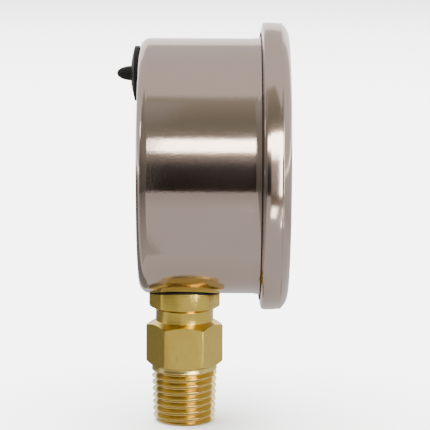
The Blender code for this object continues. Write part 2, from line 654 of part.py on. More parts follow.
def make_stem():
    stem = turned("stem_socket", stem_profile(), BRASS, steps=STEM_STEPS)
    stock = boolean(hex_stock(), thread_stock(), "UNION")
    boolean(stem, stock, "INTERSECT")
    boolean(stem, collar_saddle())
    feed_top = CASE_HEIGHT - TUBE_RADIUS
    bore = RESTRICTOR_RADIUS + GAP
    seat = PORT_DEPTH + RESTRICTOR_LENGTH + bore
    port = turned("port", [(0, feed_top), (FEED_RADIUS, feed_top), (FEED_RADIUS, seat), (bore, seat),
                           (bore, PORT_DEPTH + 1), (PORT_RADIUS, PORT_DEPTH), (PORT_RADIUS, -1), (0, -1)],
                  None, steps=SMALL_STEPS)
    boolean(stem, port)
    boolean(stem, tube_pocket())
    flat_bottom = CLIP_Z + CLIP_THICKNESS / 2 + 4 * GAP
    flat_height = BLOCK_TOP - flat_bottom
    front_flat = box("block_front", (4 * SPIGOT_RADIUS, SPIGOT_RADIUS, 2 * flat_height), None)
    front_flat.location = (0.0, -(BLOCK_FRONT_U + SPIGOT_RADIUS / 2) * MM,
                           (CASE_HEIGHT + flat_bottom + flat_height) * MM)
    boolean(stem, front_flat)
    half = CLIP_THICKNESS / 2 + GAP
    outside = SPIGOT_RADIUS * 1.5
    groove = stand_up(turned("clip_groove", [(CLIP_GROOVE_RADIUS, half), (outside, half), (outside, -half),
                                             (CLIP_GROOVE_RADIUS, -half)], None, steps=STEM_STEPS, ring=True),
                      CASE_HEIGHT + CLIP_Z)
    boolean(stem, groove)
    for index, (x, z) in enumerate(BLOCK_SCREW_PLACES):
        hole = rod("block_screw_hole_%d" % index, BLOCK_SCREW_RADIUS + GAP, 2 * BLOCK_SCREW_REACH, None)
        face_front(hole, x, z, BLOCK_FRONT_U - BLOCK_SCREW_REACH - GAP)
        boolean(stem, hole)


def make_stem_fittings():
    """Seal under the case, clip inside it and restrictor screw in the port."""
    inner, outer = CASE_RADIUS + GAP, CASE_RADIUS + GAP + SEAL_THICKNESS
    bore, rim, side = SPIGOT_RADIUS + HOLE_GAP, COLLAR_RADIUS + SEAL_OVERHANG, SADDLE_SEAT_U
    tube_profile = [(bore, rim / 2), (rim, rim / 2), (rim, -rim / 2), (bore, -rim / 2)]
    seal = turned("stem_seal", tube_profile, RUBBER, steps=STEM_STEPS, ring=True)
    stand_up(seal, STEM_REACH)
    shell_profile = [(inner, side), (outer, side), (outer, -side), (inner, -side)]
    shell = face_front(turned("seal_shell", shell_profile, None, ring=True))
    boolean(seal, shell, "INTERSECT")
    slot = CLIP_GROOVE_RADIUS + GAP
    mouth = -CLIP_REACH
    outline = [(-slot, mouth)] + arc((0, 0), slot, 180, 0, 10) + [(slot, mouth), (CLIP_REACH, mouth)]
    outline += arc((0, 0), CLIP_REACH, 0, 180, 12) + [(-CLIP_REACH, mouth)]
    clip = sheet("stem_retaining_clip", [outline], CLIP_THICKNESS, STEEL)
    stand_up(clip, CASE_HEIGHT + CLIP_Z)
    orifice = RESTRICTOR_ORIFICE
    profile = [(orifice, RESTRICTOR_LENGTH), (RESTRICTOR_RADIUS, RESTRICTOR_LENGTH), (RESTRICTOR_RADIUS, 0),
               (orifice, 0)]
    restrictor = turned("inlet_restrictor", profile, BRASS, steps=SMALL_STEPS, ring=True)
    stand_up(restrictor, PORT_DEPTH + RESTRICTOR_RADIUS)


# ---------------------------------------------------------------- Bourdon tube
def oval(half_width, half_thickness):
    """Flattened tube section as (radial, along u) points."""
    bend = half_thickness
    straight = half_width - bend
    section = arc((0, straight), bend, 0, 180, 4)
    return section + arc((0, -straight), bend, 180, 360, 4)


def make_tube():
    """Flattened tube bent round the case, open at both ends."""
    mesh = bpy.data.meshes.new("bourdon_tube")
    bm = bmesh.new()
    section = oval((TUBE_WIDTH - TUBE_WALL) / 2, (TUBE_THICKNESS - TUBE_WALL) / 2)
    verts = [bm.verts.new(((TUBE_RADIUS + radial) * MM, 0.0, along * MM)) for radial, along in section]
    edges = [bm.edges.new(pair) for pair in zip(verts, verts[1:] + verts[:1])]
    root = Matrix.Rotation(math.radians(TUBE_ROOT), 3, "Z")
    bmesh.ops.rotate(bm, verts=verts, cent=(0, 0, 0), matrix=root)
    bmesh.ops.spin(bm, geom=verts + edges, cent=(0, 0, 0), axis=(0, 0, 1),
                   angle=math.radians(TUBE_TIP - TUBE_ROOT), steps=TUBE_STEPS)
    bmesh.ops.recalc_face_normals(bm, faces=bm.faces)
    bm.to_mesh(mesh)
    bm.free()
    mesh.shade_smooth()
    tube = face_front(add_object("bourdon_tube", mesh, BRONZE))
    wall = tube.modifiers.new("wall", "SOLIDIFY")
    wall.thickness = TUBE_WALL * MM
    wall.offset = 0.0
    wall.use_even_offset = True


def make_tip():
    """End piece that closes the tube, with a lug that carries the link's pin."""
    deep, front = -TUBE_WIDTH / 2 - TIP_CAP_RIM, LUG_U[1]
    reach = TUBE_TIP - math.degrees((TIP_CAP_DEPTH / 2 + GAP) / TUBE_RADIUS)
    cap = box("tube_tip", (TUBE_THICKNESS + 2 * TIP_CAP_RIM, TIP_CAP_DEPTH, front - deep), BRONZE)
    x, z = polar(TUBE_RADIUS, reach)
    face_front(cap, x, z, (front + deep) / 2)
    upright = Matrix.Rotation(math.pi / 2, 3, "X")
    cap.rotation_euler = (Matrix.Rotation(math.radians(-reach), 3, "Y") @ upright).to_euler()
    outline = slot_outline(TIP_PIN, polar(TUBE_RADIUS, reach), TIP_CAP_DEPTH / 2 - GAP)
    hole = circle(TIP_PIN, LINK_PIN_RADIUS + GAP, 12)
    lug = sheet_between("tip_lug", [outline, hole], (LUG_U[0], front - GAP), None)
    boolean(cap, as_mesh(lug, None), "UNION")
    pin = rod("tip_pin", LINK_PIN_RADIUS, LINK_U[1] + PIN_PROUD - LUG_U[0], STEEL, 12)
    face_front(pin, *TIP_PIN, LUG_U[0])
    tip = make_body("tube_tip_pole", *TIP_POLE)
    carry(tip, cap, pin)


def make_link():
    """Bar between the tube's tip and the sector's tail; its hole at the tail is the wide one."""
    outline = slot_outline(TAIL_PIN, TIP_PIN, LINK_EYE_RADIUS)
    holes = [circle(TIP_PIN, LINK_PIN_RADIUS + PIVOT_GAP, 12),
             circle(TAIL_PIN, LINK_PIN_RADIUS + OPEN_PIVOT_GAP, 12)]
    bar = sheet_between("link_bar", [outline] + holes, LINK_U, BRASS)
    carry(make_body("link_pivot", *TIP_PIN), bar)


# ---------------------------------------------------------------- movement
def gear_radii(teeth):
    """Pitch, tip and root radius of a gear."""
    pitch = MODULE * teeth / 2
    return pitch, pitch + MODULE * ADDENDUM, pitch - MODULE * DEDENDUM


def tooth(angle, teeth, share, centre=(0.0, 0.0)):
    """Points of one tooth about its own angle, with a share of the full tooth width kept."""
    pitch, tip, root = gear_radii(teeth)
    half = 90 / teeth * share
    slope = math.degrees(math.tan(math.radians(PRESSURE_ANGLE)) / pitch)
    points = []
    for radius, side in ((root, -1), (pitch, -1), (tip, -1), (tip, 1), (pitch, 1), (root, 1)):
        points.append(polar(radius, angle + side * (half - (radius - pitch) * slope), centre))
    return points


def sector_outline():
    """Toothed fan, hub and tail of the sector at zero pressure."""
    mesh_angle = SECTOR_PIVOT_ANGLE + 180
    step = 360 / WHEEL_TEETH
    first, last = -1, math.ceil(SECTOR_SWING / step) + 1
    tail_angle = TAIL_MID_ANGLE - SECTOR_SWING / 2
    fan_low, fan_high = mesh_angle - (last + 0.5) * step, mesh_angle - (first - 0.5) * step
    root = gear_radii(WHEEL_TEETH)[2]
    outline = arc(TAIL_PIN, LINK_EYE_RADIUS, tail_angle - 90, tail_angle + 90, 8)
    outline += arc(SECTOR_PIVOT, SECTOR_HUB_RADIUS, tail_angle + 40, fan_low - 40, 5)
    outline.append(polar(root - SECTOR_RIM, fan_low, SECTOR_PIVOT))
    outline.append(polar(root, fan_low, SECTOR_PIVOT))
    for index in range(last, first - 1, -1):
        outline += tooth(mesh_angle - index * step, WHEEL_TEETH, SECTOR_TOOTH_SHARE, SECTOR_PIVOT)
    outline.append(polar(root, fan_high, SECTOR_PIVOT))
    outline.append(polar(root - SECTOR_RIM, fan_high, SECTOR_PIVOT))
    outline += arc(SECTOR_PIVOT, SECTOR_HUB_RADIUS, fan_high + 40, tail_angle + 320, 5)
    return outline


def sector_window():
    """Cut-out that lightens the fan."""
    mesh_angle = SECTOR_PIVOT_ANGLE + 180
    middle = mesh_angle - SECTOR_SWING / 2
    rim = gear_radii(WHEEL_TEETH)[2] - SECTOR_RIM
    outer = arc(SECTOR_PIVOT, rim, middle - 15, middle + 15, 6)
    inner = arc(SECTOR_PIVOT, SECTOR_HUB_RADIUS * 1.7, middle + 12, middle - 12, 3)
    return outer + inner


def make_sector():
    holes = [circle(SECTOR_PIVOT, ARBOR_RADIUS + GAP, 12), circle(TAIL_PIN, LINK_PIN_RADIUS + GAP, 12),
             sector_window()]
    sector = sheet_between("sector_gear", [sector_outline()] + holes, SECTOR_U, BRASS)
    rear, front = REAR_PLATE_U[0] + GAP, FRONT_PLATE_U[1] - GAP
    collar = (REAR_PLATE_U[1] + MOVING_GAP, SECTOR_U[0] - GAP)
    shoulder = SECTOR_HUB_RADIUS * 0.7
    profile = [(0, front), (ARBOR_RADIUS, front), (ARBOR_RADIUS, collar[1]), (shoulder, collar[1]),
               (shoulder, collar[0]), (ARBOR_RADIUS, collar[0]), (ARBOR_RADIUS, rear), (0, rear)]
    arbor = face_front(turned("sector_arbor", profile, STEEL, steps=12), *SECTOR_PIVOT)
    pin = rod("sector_tail_pin", LINK_PIN_RADIUS, LINK_U[1] + PIN_PROUD - SECTOR_U[0], STEEL, 12)
    face_front(pin, *TAIL_PIN, SECTOR_U[0])
    carry(make_body("sector_pivot", *SECTOR_PIVOT), sector, arbor, pin)


def make_pinion():
    """Arbor with the pinion cut on it, the collet of the hairspring, and the pointer."""
    rear, front = REAR_PLATE_U[0] + GAP, POINTER_U[1] + HUB_HEIGHT * 0.7
    root = gear_radii(PINION_TEETH)[2]
    low, high = PINION_U[0] - GAP, PINION_U[1] + GAP
    profile = [(0, front), (ARBOR_RADIUS, front), (ARBOR_RADIUS, high), (root, high), (root, low),
               (ARBOR_RADIUS, low), (ARBOR_RADIUS, rear), (0, rear)]
    arbor = face_front(turned("pinion_arbor", profile, STEEL, steps=PINION_TEETH * 2))
    outline = []
    for index in range(PINION_TEETH):
        middle = SECTOR_PIVOT_ANGLE + (index + 0.5) * 360 / PINION_TEETH
        outline += tooth(middle, PINION_TEETH, PINION_TOOTH_SHARE)[1:-1]
        outline.append(polar(root, middle + 180 / PINION_TEETH))
    teeth = sheet_between("pinion_teeth", [outline], PINION_U, None)
    boolean(arbor, as_mesh(teeth, None), "UNION")
    bore, height = ARBOR_RADIUS + GAP, HAIRSPRING_WIDTH + GAP
    collet_profile = [(bore, height), (COLLET_RADIUS, height), (COLLET_RADIUS, 0), (bore, 0)]
    collet = turned("hairspring_collet", collet_profile, BRASS, steps=SMALL_STEPS, ring=True)
    face_front(collet, u=HAIRSPRING_U[0])
    carry(make_body("pointer_axis"), arbor, collet, make_hub(), make_pointer())


def make_hub():
    bore = ARBOR_RADIUS + GAP
    rear = POINTER_U[1] + GAP
    front = rear + HUB_HEIGHT
    edge = HUB_HEIGHT / 3
    profile = [(bore, front), (HUB_RADIUS - edge, front), (HUB_RADIUS, front - edge), (HUB_RADIUS, rear),
               (bore, rear)]
    return face_front(turned("pointer_hub", profile, BRASS, steps=SMALL_STEPS, ring=True))


def make_pointer():
    """Tapered needle with a broad tail, lying along the zero direction."""
    half = POINTER_WIDTH / 2
    boss, neck = HUB_RADIUS - GAP, HUB_RADIUS + half
    upper = [(POINTER_LENGTH, half / 5), (neck, half), (boss * 0.7, boss), (-boss * 0.7, boss), (-neck, half),
             (-POINTER_TAIL, 2 * half)]
    corners = upper + [(x, -z) for x, z in reversed(upper)]
    turn = math.radians(POINTER_REST)
    outline = [(x * math.cos(turn) - z * math.sin(turn), x * math.sin(turn) + z * math.cos(turn))
               for x, z in corners]
    return sheet_between("pointer_blade", [outline, circle((0, 0), ARBOR_RADIUS + GAP, 12)], POINTER_U, BLACK)


def make_hairspring():
    """Flat spiral from the collet to a stud on the front plate."""
    steps = int(HAIRSPRING_TURNS * SMALL_STEPS)
    inner = COLLET_RADIUS + GAP + HAIRSPRING_WALL / 2
    mesh = bpy.data.meshes.new("hairspring")
    bm = bmesh.new()
    rows = []
    for level in HAIRSPRING_U:
        row = []
        for i in range(steps + 1):
            share = i / steps
            radius = inner + (HAIRSPRING_OUTER - inner) * share
            x, z = polar(radius, STUD_ANGLE - 360 * HAIRSPRING_TURNS * (1 - share))
            row.append(bm.verts.new((x * MM, z * MM, level * MM)))
        rows.append([bm.edges.new(pair) for pair in zip(row, row[1:])])
    bmesh.ops.bridge_loops(bm, edges=rows[0] + rows[1])
    bmesh.ops.recalc_face_normals(bm, faces=bm.faces)
    bm.to_mesh(mesh)
    bm.free()
    spring = face_front(add_object("hairspring", mesh, BRONZE))
    solidify = spring.modifiers.new("thickness", "SOLIDIFY")
    solidify.thickness = HAIRSPRING_WALL * MM
    solidify.offset = 0.0
    stud_front = FRONT_PLATE_U[0] - GAP
    stud = box("hairspring_stud", (STUD_SIDE, STUD_SIDE, stud_front - HAIRSPRING_U[0]), BRASS)
    corner = STUD_SIDE / math.sqrt(2)
    x, z = polar(HAIRSPRING_OUTER + HAIRSPRING_WALL / 2 + corner + GAP, STUD_ANGLE)
    face_front(stud, x, z, (stud_front + HAIRSPRING_U[0]) / 2)


def plate_outline(foot):
    """Outline of a movement plate; the rear one has a foot on the stem's block."""
    pivot_x, pivot_z = SECTOR_PIVOT
    right, top = RIGHT_PILLAR[0] + 2.0, RIGHT_PILLAR[1] + 2.2
    corners = [(-9.6, 5.6), (right, top), (right, top - 4.2), (pivot_x + 2.4, -3.0),
               (pivot_x + 2.4, pivot_z - 2.2)]
    if foot:
        side, bottom = BLOCK_SCREW_SPREAD + 3.1, BLOCK_SCREW_Z - 2.0
        corners += [(side, bottom), (-side, bottom)]
    corners.append((-9.4, pivot_z - 2.4))
    return rounded(corners[::-1], 1.0)


def hollow_post(name, length, plate_thickness):
    """Round post with a shank riveted through the plate behind it and a screw hole in its front."""
    hole, shank = PLATE_SCREW_RADIUS + GAP, PLATE_SCREW_RADIUS
    bottom = length * 0.3
    rivet = plate_thickness + GAP
    profile = [(hole, length), (PILLAR_RADIUS, length), (PILLAR_RADIUS, 0), (shank, 0), (shank, -rivet),
               (0, -rivet), (0, bottom), (hole, bottom)]
    return turned(name, profile, BRASS, steps=SMALL_STEPS, ring=True)


def make_movement():
    pivots = [(0.0, 0.0), SECTOR_PIVOT]
    pivot_holes = [circle(place, ARBOR_RADIUS + PIVOT_GAP, 12) for place in pivots]
    hole = PLATE_SCREW_RADIUS + GAP
    pillar_holes = [circle(place, hole, 12) for place in PILLAR_PLACES]
    block_holes = [circle(place, BLOCK_SCREW_RADIUS + GAP, 12) for place in BLOCK_SCREW_PLACES]
    sheet_between("movement_rear_plate", [plate_outline(True)] + pivot_holes + pillar_holes + block_holes,
                  REAR_PLATE_U, BRASS)
    post_holes = [circle(place, hole, 12) for place in DIAL_SCREW_PLACES]
    sheet_between("movement_front_plate", [plate_outline(False)] + pivot_holes + pillar_holes + post_holes,
                  FRONT_PLATE_U, BRASS)
    pillar_length = FRONT_PLATE_U[0] - REAR_PLATE_U[1] - 2 * GAP
    screw_reach = FRONT_PLATE_THICKNESS + pillar_length / 3
    for index, (x, z) in enumerate(PILLAR_PLACES, start=1):
        pillar = hollow_post("movement_pillar_%d" % index, pillar_length, REAR_PLATE_THICKNESS)
        face_front(pillar, x, z, REAR_PLATE_U[1] + GAP)
        screw = slotted_screw("plate_screw_%d" % index, PILLAR_RADIUS, 0.6, PLATE_SCREW_RADIUS, screw_reach)
        place_screw(screw, x, z, FRONT_PLATE_U[1] + GAP, 35 * index)
    for turn, side, (x, z) in zip((20, 75), ("left", "right"), BLOCK_SCREW_PLACES):
        reach = BLOCK_SCREW_REACH + 3 * GAP + REAR_PLATE_THICKNESS
        head = BLOCK_SCREW_RADIUS * 1.9
        screw = slotted_screw("movement_screw_" + side, head, 0.8, BLOCK_SCREW_RADIUS, reach)
        place_screw(screw, x, z, REAR_PLATE_U[1] + GAP, turn)


def make_dial():
    """Dial plate on two posts, its screws and the stop pin beside the pointer."""
    hole = PLATE_SCREW_RADIUS + GAP
    beside = math.degrees((STOP_PIN_RADIUS + POINTER_WIDTH / 2) / STOP_PIN_REACH)
    stop_place = polar(STOP_PIN_REACH, POINTER_REST + beside)
    holes = [circle((0, 0), DIAL_HOLE_RADIUS)] + [circle(place, hole, 12) for place in DIAL_SCREW_PLACES]
    holes.append(circle(stop_place, STOP_PIN_RADIUS + GAP, 12))
    sheet_between("dial_plate", [circle((0, 0), DIAL_RADIUS, RING_STEPS)] + holes, DIAL_U, WHITE)
    post_length = DIAL_POST_LENGTH - 2 * GAP
    for turn, side, (x, z) in zip((30, 110), ("left", "right"), DIAL_SCREW_PLACES):
        post = hollow_post("dial_post_" + side, post_length, FRONT_PLATE_THICKNESS)
        face_front(post, x, z, FRONT_PLATE_U[1] + GAP)
        screw = slotted_screw("dial_screw_" + side, PILLAR_RADIUS, 0.5, PLATE_SCREW_RADIUS,
                              DIAL_THICKNESS + post_length / 2)
        place_screw(screw, x, z, DIAL_U[1] + GAP, turn)
    pin = rod("pointer_stop_pin", STOP_PIN_RADIUS, DIAL_THICKNESS + STOP_PIN_HEIGHT, STEEL, 12)
    face_front(pin, *stop_place, DIAL_U[0])


make_case()
make_front()
make_plug()
make_stem()
make_stem_fittings()
make_tube()
make_tip()
make_link()
make_sector()
make_pinion()
make_hairspring()
make_movement()
make_dial()
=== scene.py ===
# %% [markdown]
# # A Bourdon tube pressure gauge, dressed for the studio
# The measured model of the gauge is already there, with its joints. This lesson gives it its looks:
# finer turned shells for what the eye sees, a printed dial, a real helical thread and the finishes.
# Lengths are worked out in millimetres and multiplied by MM where Blender gets them, in metres.

# %% Load the measured model
import json
import math

import bmesh
import bpy
from mathutils import Matrix, Vector


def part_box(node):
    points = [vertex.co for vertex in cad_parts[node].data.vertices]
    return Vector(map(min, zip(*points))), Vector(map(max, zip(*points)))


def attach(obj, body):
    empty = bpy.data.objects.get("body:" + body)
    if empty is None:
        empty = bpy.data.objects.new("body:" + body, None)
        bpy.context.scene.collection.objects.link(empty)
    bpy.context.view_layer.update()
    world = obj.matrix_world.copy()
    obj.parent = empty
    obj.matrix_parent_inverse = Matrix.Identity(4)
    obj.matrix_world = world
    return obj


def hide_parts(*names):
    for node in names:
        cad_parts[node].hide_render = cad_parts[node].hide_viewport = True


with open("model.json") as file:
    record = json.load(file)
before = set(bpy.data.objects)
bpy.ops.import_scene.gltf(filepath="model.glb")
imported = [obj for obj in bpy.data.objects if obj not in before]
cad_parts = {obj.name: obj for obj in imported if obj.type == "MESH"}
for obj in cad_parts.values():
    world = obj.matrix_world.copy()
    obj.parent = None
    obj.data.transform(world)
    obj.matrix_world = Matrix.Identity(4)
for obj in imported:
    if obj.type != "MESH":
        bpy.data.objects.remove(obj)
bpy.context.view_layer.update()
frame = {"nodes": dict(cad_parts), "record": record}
MM = 0.001
case_low, case_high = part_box("case_shell")
CASE_CENTRE = Vector((0.0, 0.0, (case_low.z + case_high.z) / 2)) / MM
print("case centre", round(CASE_CENTRE.z, 2), "mm above the end of the stem")

# %% [markdown]
# ## Shader sums as plain sums
# A pattern on metal is a lot of small arithmetic: a mask times a colour, one minus a mask. Adding each
# Math node by hand hides the idea. `Wire` wraps one socket and turns + - * / into Math nodes, and
# `Finish.node` adds any other node. A finish then reads like the sentence that describes it.

# %% Wires and finishes
class Wire:
    """One output socket of a finish; sums on it add Math nodes."""

    def __init__(self, finish, socket):
        self.finish, self.socket = finish, socket

    def maths(self, operation, *values):
        return self.finish.node("ShaderNodeMath", {"operation": operation}, dict(enumerate(values)))

    def __add__(self, other):
        return self.maths("ADD", self, other)

    def __sub__(self, other):
        return self.maths("SUBTRACT", self, other)

    def __rsub__(self, other):
        return self.maths("SUBTRACT", other, self)

    def __mul__(self, other):
        return self.maths("MULTIPLY", self, other)

    def __truediv__(self, other):
        return self.maths("DIVIDE", self, other)

    def __gt__(self, other):
        return self.maths("GREATER_THAN", self, other)

    def __lt__(self, other):
        return self.maths("LESS_THAN", self, other)

    __radd__ = __add__
    __rmul__ = __mul__


class Finish:
    """A material built round one Principled shader."""

    def __init__(self, name, metallic=0.0, **fixed):
        self.material = bpy.data.materials.new(name)
        self.material.use_nodes = True
        self.tree = self.material.node_tree
        self.shader = self.tree.nodes["Principled BSDF"]
        self.shader.inputs["Metallic"].default_value = metallic
        for socket, value in fixed.items():
            self.shader.inputs[socket.replace("_", " ")].default_value = value

    def node(self, kind, settings=None, sockets=None, output=0):
        """Add a node: its settings first, then the values or wires of its sockets."""
        made = self.tree.nodes.new(kind)
        for name, value in (settings or {}).items():
            if name == "stops":
                while len(made.color_ramp.elements) < len(value):
                    made.color_ramp.elements.new(0.5)
                for stop, (place, colour) in zip(made.color_ramp.elements, value):
                    stop.position, stop.color = place, (*colour, 1.0)
            else:
                setattr(made, name, value)
        for key, value in (sockets or {}).items():
            if isinstance(value, Wire):
                self.tree.links.new(made.inputs[key], value.socket)
            else:
                made.inputs[key].default_value = value
        return Wire(self, made.outputs[output])

    def place(self, scale=(1.0, 1.0, 1.0), centre=(0.0, 0.0, 0.0)):
        """The point on the piece in millimetres, from a centre, squeezed or stretched."""
        point = self.node("ShaderNodeTexCoord", output=3)
        size = tuple(s / MM for s in scale)
        shift = tuple(-s * c for s, c in zip(scale, centre))
        return self.node("ShaderNodeMapping", sockets={"Vector": point, "Scale": size, "Location": shift})

    def noise(self, scale, detail=2.0, stretch=(1.0, 1.0, 1.0)):
        """Cloudy value from 0 to 1; scale is features per millimetre."""
        sockets = {"Vector": self.place(stretch), "Scale": scale, "Detail": detail}
        return self.node("ShaderNodeTexNoise", sockets=sockets)

    def ramp(self, value, *stops):
        """Colour of a value, from pairs of place and colour."""
        return self.node("ShaderNodeValToRGB", {"stops": stops}, {"Fac": value})

    def mix(self, share, first, second):
        """Colour between two colours."""
        first, second = (c if isinstance(c, Wire) else (*c, 1.0) for c in (first, second))
        return self.node("ShaderNodeMix", {"data_type": "RGBA"}, {0: share, 6: first, 7: second}, output=2)

    def bump(self, height, depth):
        """Normal of a relief this many millimetres deep."""
        sockets = {"Height": height, "Distance": depth * MM, "Strength": 1.0}
        return self.node("ShaderNodeBump", sockets=sockets)

    def feed(self, **wires):
        """Link wires to the Principled shader's sockets."""
        for name, wire in wires.items():
            self.tree.links.new(self.shader.inputs[name.replace("_", " ")], wire.socket)
        return self.material

    def show(self, shader):
        """Let another shader reach the surface in the Principled one's place."""
        self.tree.links.new(self.tree.nodes["Material Output"].inputs["Surface"], shader.socket)
        self.tree.nodes.remove(self.shader)
        return self.material


print("Wire and Finish are ready")

# %% [markdown]
# ## Polished stainless
# The case is drawn from thin stainless sheet and tumbled bright. It mirrors the room, but the drawing
# leaves a fine orange peel that frays the edges of every reflection, and the grain takes a little of
# the shine away in soft patches. Noise at three sizes gives the peel, the fray and the patches.

# %% Stainless for the case and the bezel
def stainless(name, peel, dull, stretch):
    """Bright sheet: peel is the depth of its relief, dull its lowest roughness."""
    steel = Finish(name, metallic=1.0)
    cloud = steel.noise(0.12, 3.0)
    fine = steel.noise(2.4, 3.0, stretch)
    coarse = steel.noise(0.5, 2.0, stretch)
    fleck = steel.noise(6.0, 1.0) > 0.72
    tone = steel.mix(cloud, (0.51, 0.40, 0.345), (0.48, 0.375, 0.32))
    tone = steel.mix(fleck * 0.3, tone, (0.24, 0.18, 0.15))
    relief = steel.bump(fine * 0.5 + coarse * 0.5, peel)
    return steel.feed(Base_Color=tone, Roughness=cloud * 0.04 + fine * 0.03 + dull, Normal=relief)


CASE_STEEL = stainless("polished_stainless", 0.014, 0.07, (1.0, 1.0, 1.0))
BEZEL_STEEL = stainless("spun_stainless", 0.008, 0.08, (1.0, 1.6, 1.0))
print("stainless ready:", CASE_STEEL.name, BEZEL_STEEL.name)

# %% [markdown]
# ## Brass, turned and drawn
# The stem starts as a drawn hexagon bar. The lathe leaves fine rings on whatever it cuts: thread,
# neck and collar. The six flats stay as drawn, with faint lines along the bar. One mask tells them
# apart: what lies between the hexagon's two chamfers is bar. In the thread's grooves the brass mirrors
# itself again and again, which turns it orange, so its colour is paler there.

# %% Brass
HEX_BOTTOM, HEX_TOP = 12.15, 21.5
brass = Finish("turned_brass", metallic=1.0)
point = brass.place()
height = brass.node("ShaderNodeSeparateXYZ", sockets={"Vector": point}, output=2)
on_bar = (height > HEX_BOTTOM + 0.6) * (height < HEX_TOP - 0.9)
rings = brass.noise(1.0, 2.0, (0.25, 0.25, 9.0))
lines = brass.noise(1.0, 3.0, (7.0, 7.0, 0.45))
stain = brass.noise(0.35, 4.0)
marks = rings * (1 - on_bar) + lines * on_bar
gold = brass.mix(stain, (0.71, 0.51, 0.11), (0.61, 0.43, 0.08))
gold = brass.mix((height < HEX_BOTTOM) * 0.85, gold, (0.72, 0.57, 0.22))
gold = brass.mix((marks > 0.6) * 0.4, gold, (0.42, 0.30, 0.08))
BRASS = brass.feed(Base_Color=gold, Roughness=marks * 0.12 + stain * 0.06 + 0.13,
                   Normal=brass.bump(marks, 0.012))
print("brass ready:", BRASS.name)

# %% [markdown]
# ## Rubber, paint, plastic and the metals inside
# Small pieces need quieter finishes: a grain in the bump and a slight change of tone are enough to
# keep them from looking like plain plastic.

# %% Quiet finishes
def quiet(name, light, dark, roughness, metallic=0.0, grain=3.0, depth=0.01, stretch=(1.0, 1.0, 1.0),
          **fixed):
    """Finish of two close tones with a fine grain in its relief."""
    finish = Finish(name, metallic, **fixed)
    cloud = finish.noise(0.5, 3.0)
    fine = finish.noise(grain, 2.0, stretch)
    return finish.feed(Base_Color=finish.mix(cloud, light, dark), Roughness=fine * 0.15 + roughness - 0.07,
                       Normal=finish.bump(fine, depth))


RUBBER = quiet("moulded_rubber", (0.006, 0.0048, 0.0045), (0.003, 0.0025, 0.0024), 0.55,
               grain=4.0, depth=0.02, Specular_IOR_Level=0.2)
DIAL_WHITE = quiet("dial_white", (0.86, 0.86, 0.84), (0.82, 0.82, 0.80), 0.55,
                   grain=8.0, depth=0.004)
PRINT_BLACK = quiet("printed_black", (0.015, 0.015, 0.016), (0.025, 0.025, 0.025), 0.50,
                    grain=8.0, depth=0.003)
POINTER_BLACK = quiet("pointer_black", (0.012, 0.012, 0.012), (0.02, 0.02, 0.02), 0.42,
                      grain=8.0, depth=0.004)
MOVEMENT_BRASS = quiet("movement_brass", (0.66, 0.48, 0.19), (0.56, 0.39, 0.13), 0.30, 1.0, 1.0, 0.008,
                       (0.4, 0.4, 6.0))
TUBE_BRONZE = quiet("phosphor_bronze", (0.55, 0.32, 0.15), (0.46, 0.25, 0.11), 0.32, 1.0, 2.0, 0.008)
PLATED_STEEL = quiet("plated_steel", (0.52, 0.52, 0.51), (0.44, 0.44, 0.44), 0.28, 1.0, 3.0, 0.006)
print(len(bpy.data.materials), "finishes so far")

# %% [markdown]
# ## The clear window's plastic
# A thin clear sheet bends light so little that it can be left out: what counts is that it lets the
# dial through and lays a faint mirror over it, stronger at a glancing angle. A Fresnel factor between
# a transparent and a glossy shader does that, and lamps reach the dial.

# %% Window plastic
pane = Finish("clear_plastic")
clear = pane.node("ShaderNodeBsdfTransparent", sockets={"Color": (0.97, 0.98, 0.98, 1.0)})
haze = pane.noise(0.3, 3.0)
mirror = pane.node("ShaderNodeBsdfGlossy", sockets={"Color": (1.0, 1.0, 1.0, 1.0), "Roughness": 0.04})
glance = pane.node("ShaderNodeFresnel", sockets={"IOR": 1.5})
sheet = pane.node("ShaderNodeMixShader", sockets={0: glance * (haze * 0.2 + 0.9), 1: clear, 2: mirror})
CLEAR_PLASTIC = pane.show(sheet)
print("window plastic ready:", CLEAR_PLASTIC.name)

# %% [markdown]
# ## Dressing what stays
# The movement inside is small and mostly hidden behind the dial, so its measured pieces are shown as
# they are, each with the finish of its metal.

# %% Finish of each measured piece that stays
FINISH_OF_SLOT = {"stainless": CASE_STEEL, "brass": MOVEMENT_BRASS, "bronze": TUBE_BRONZE,
                  "black_rubber": RUBBER, "clear_polycarbonate": CLEAR_PLASTIC, "white_dial": DIAL_WHITE,
                  "black_paint": POINTER_BLACK, "plated_steel": PLATED_STEEL}
slot_of = {entry["node"]: entry["material_slot"] for entry in frame["record"]["subparts"]}
for name, node in frame["nodes"].items():
    node.data.materials.clear()
    node.data.materials.append(FINISH_OF_SLOT[slot_of[name]])
print(len(frame["nodes"]), "measured pieces dressed")

# %% [markdown]
# ## Turning a piece
# Nearly everything on a gauge is turned or spun. A lathe piece is a half outline swung round an axis:
# a few vertices joined by edges, one full spin, then a bevel on the edges that are too crisp. Pieces
# of the dial's side are given as (radius, forward) and swing round the dial's axis; pieces of the
# stem are given as (radius, height) and swing round the stem.

# %% Lathe
STEPS, SHELL_STEPS = 160, 200  # steps in a full turn
DOUBLES = 0.0005  # points closer than this are one point


def finished(name, bm, material, body, *replaced):
    """Make a bmesh a piece that rides on a body and stands for measured pieces."""
    bmesh.ops.remove_doubles(bm, verts=bm.verts, dist=DOUBLES * MM)
    bmesh.ops.recalc_face_normals(bm, faces=bm.faces)
    mesh = bpy.data.meshes.new(name)
    bm.to_mesh(mesh)
    bm.free()
    mesh.shade_smooth()
    mesh.set_sharp_from_angle(angle=math.radians(32))
    mesh.materials.append(material)
    piece = bpy.data.objects.new(name, mesh)
    bpy.context.scene.collection.objects.link(piece)
    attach(piece, body)
    if replaced:
        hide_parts(*replaced)
    print(name, len(mesh.polygons), "faces")
    return piece


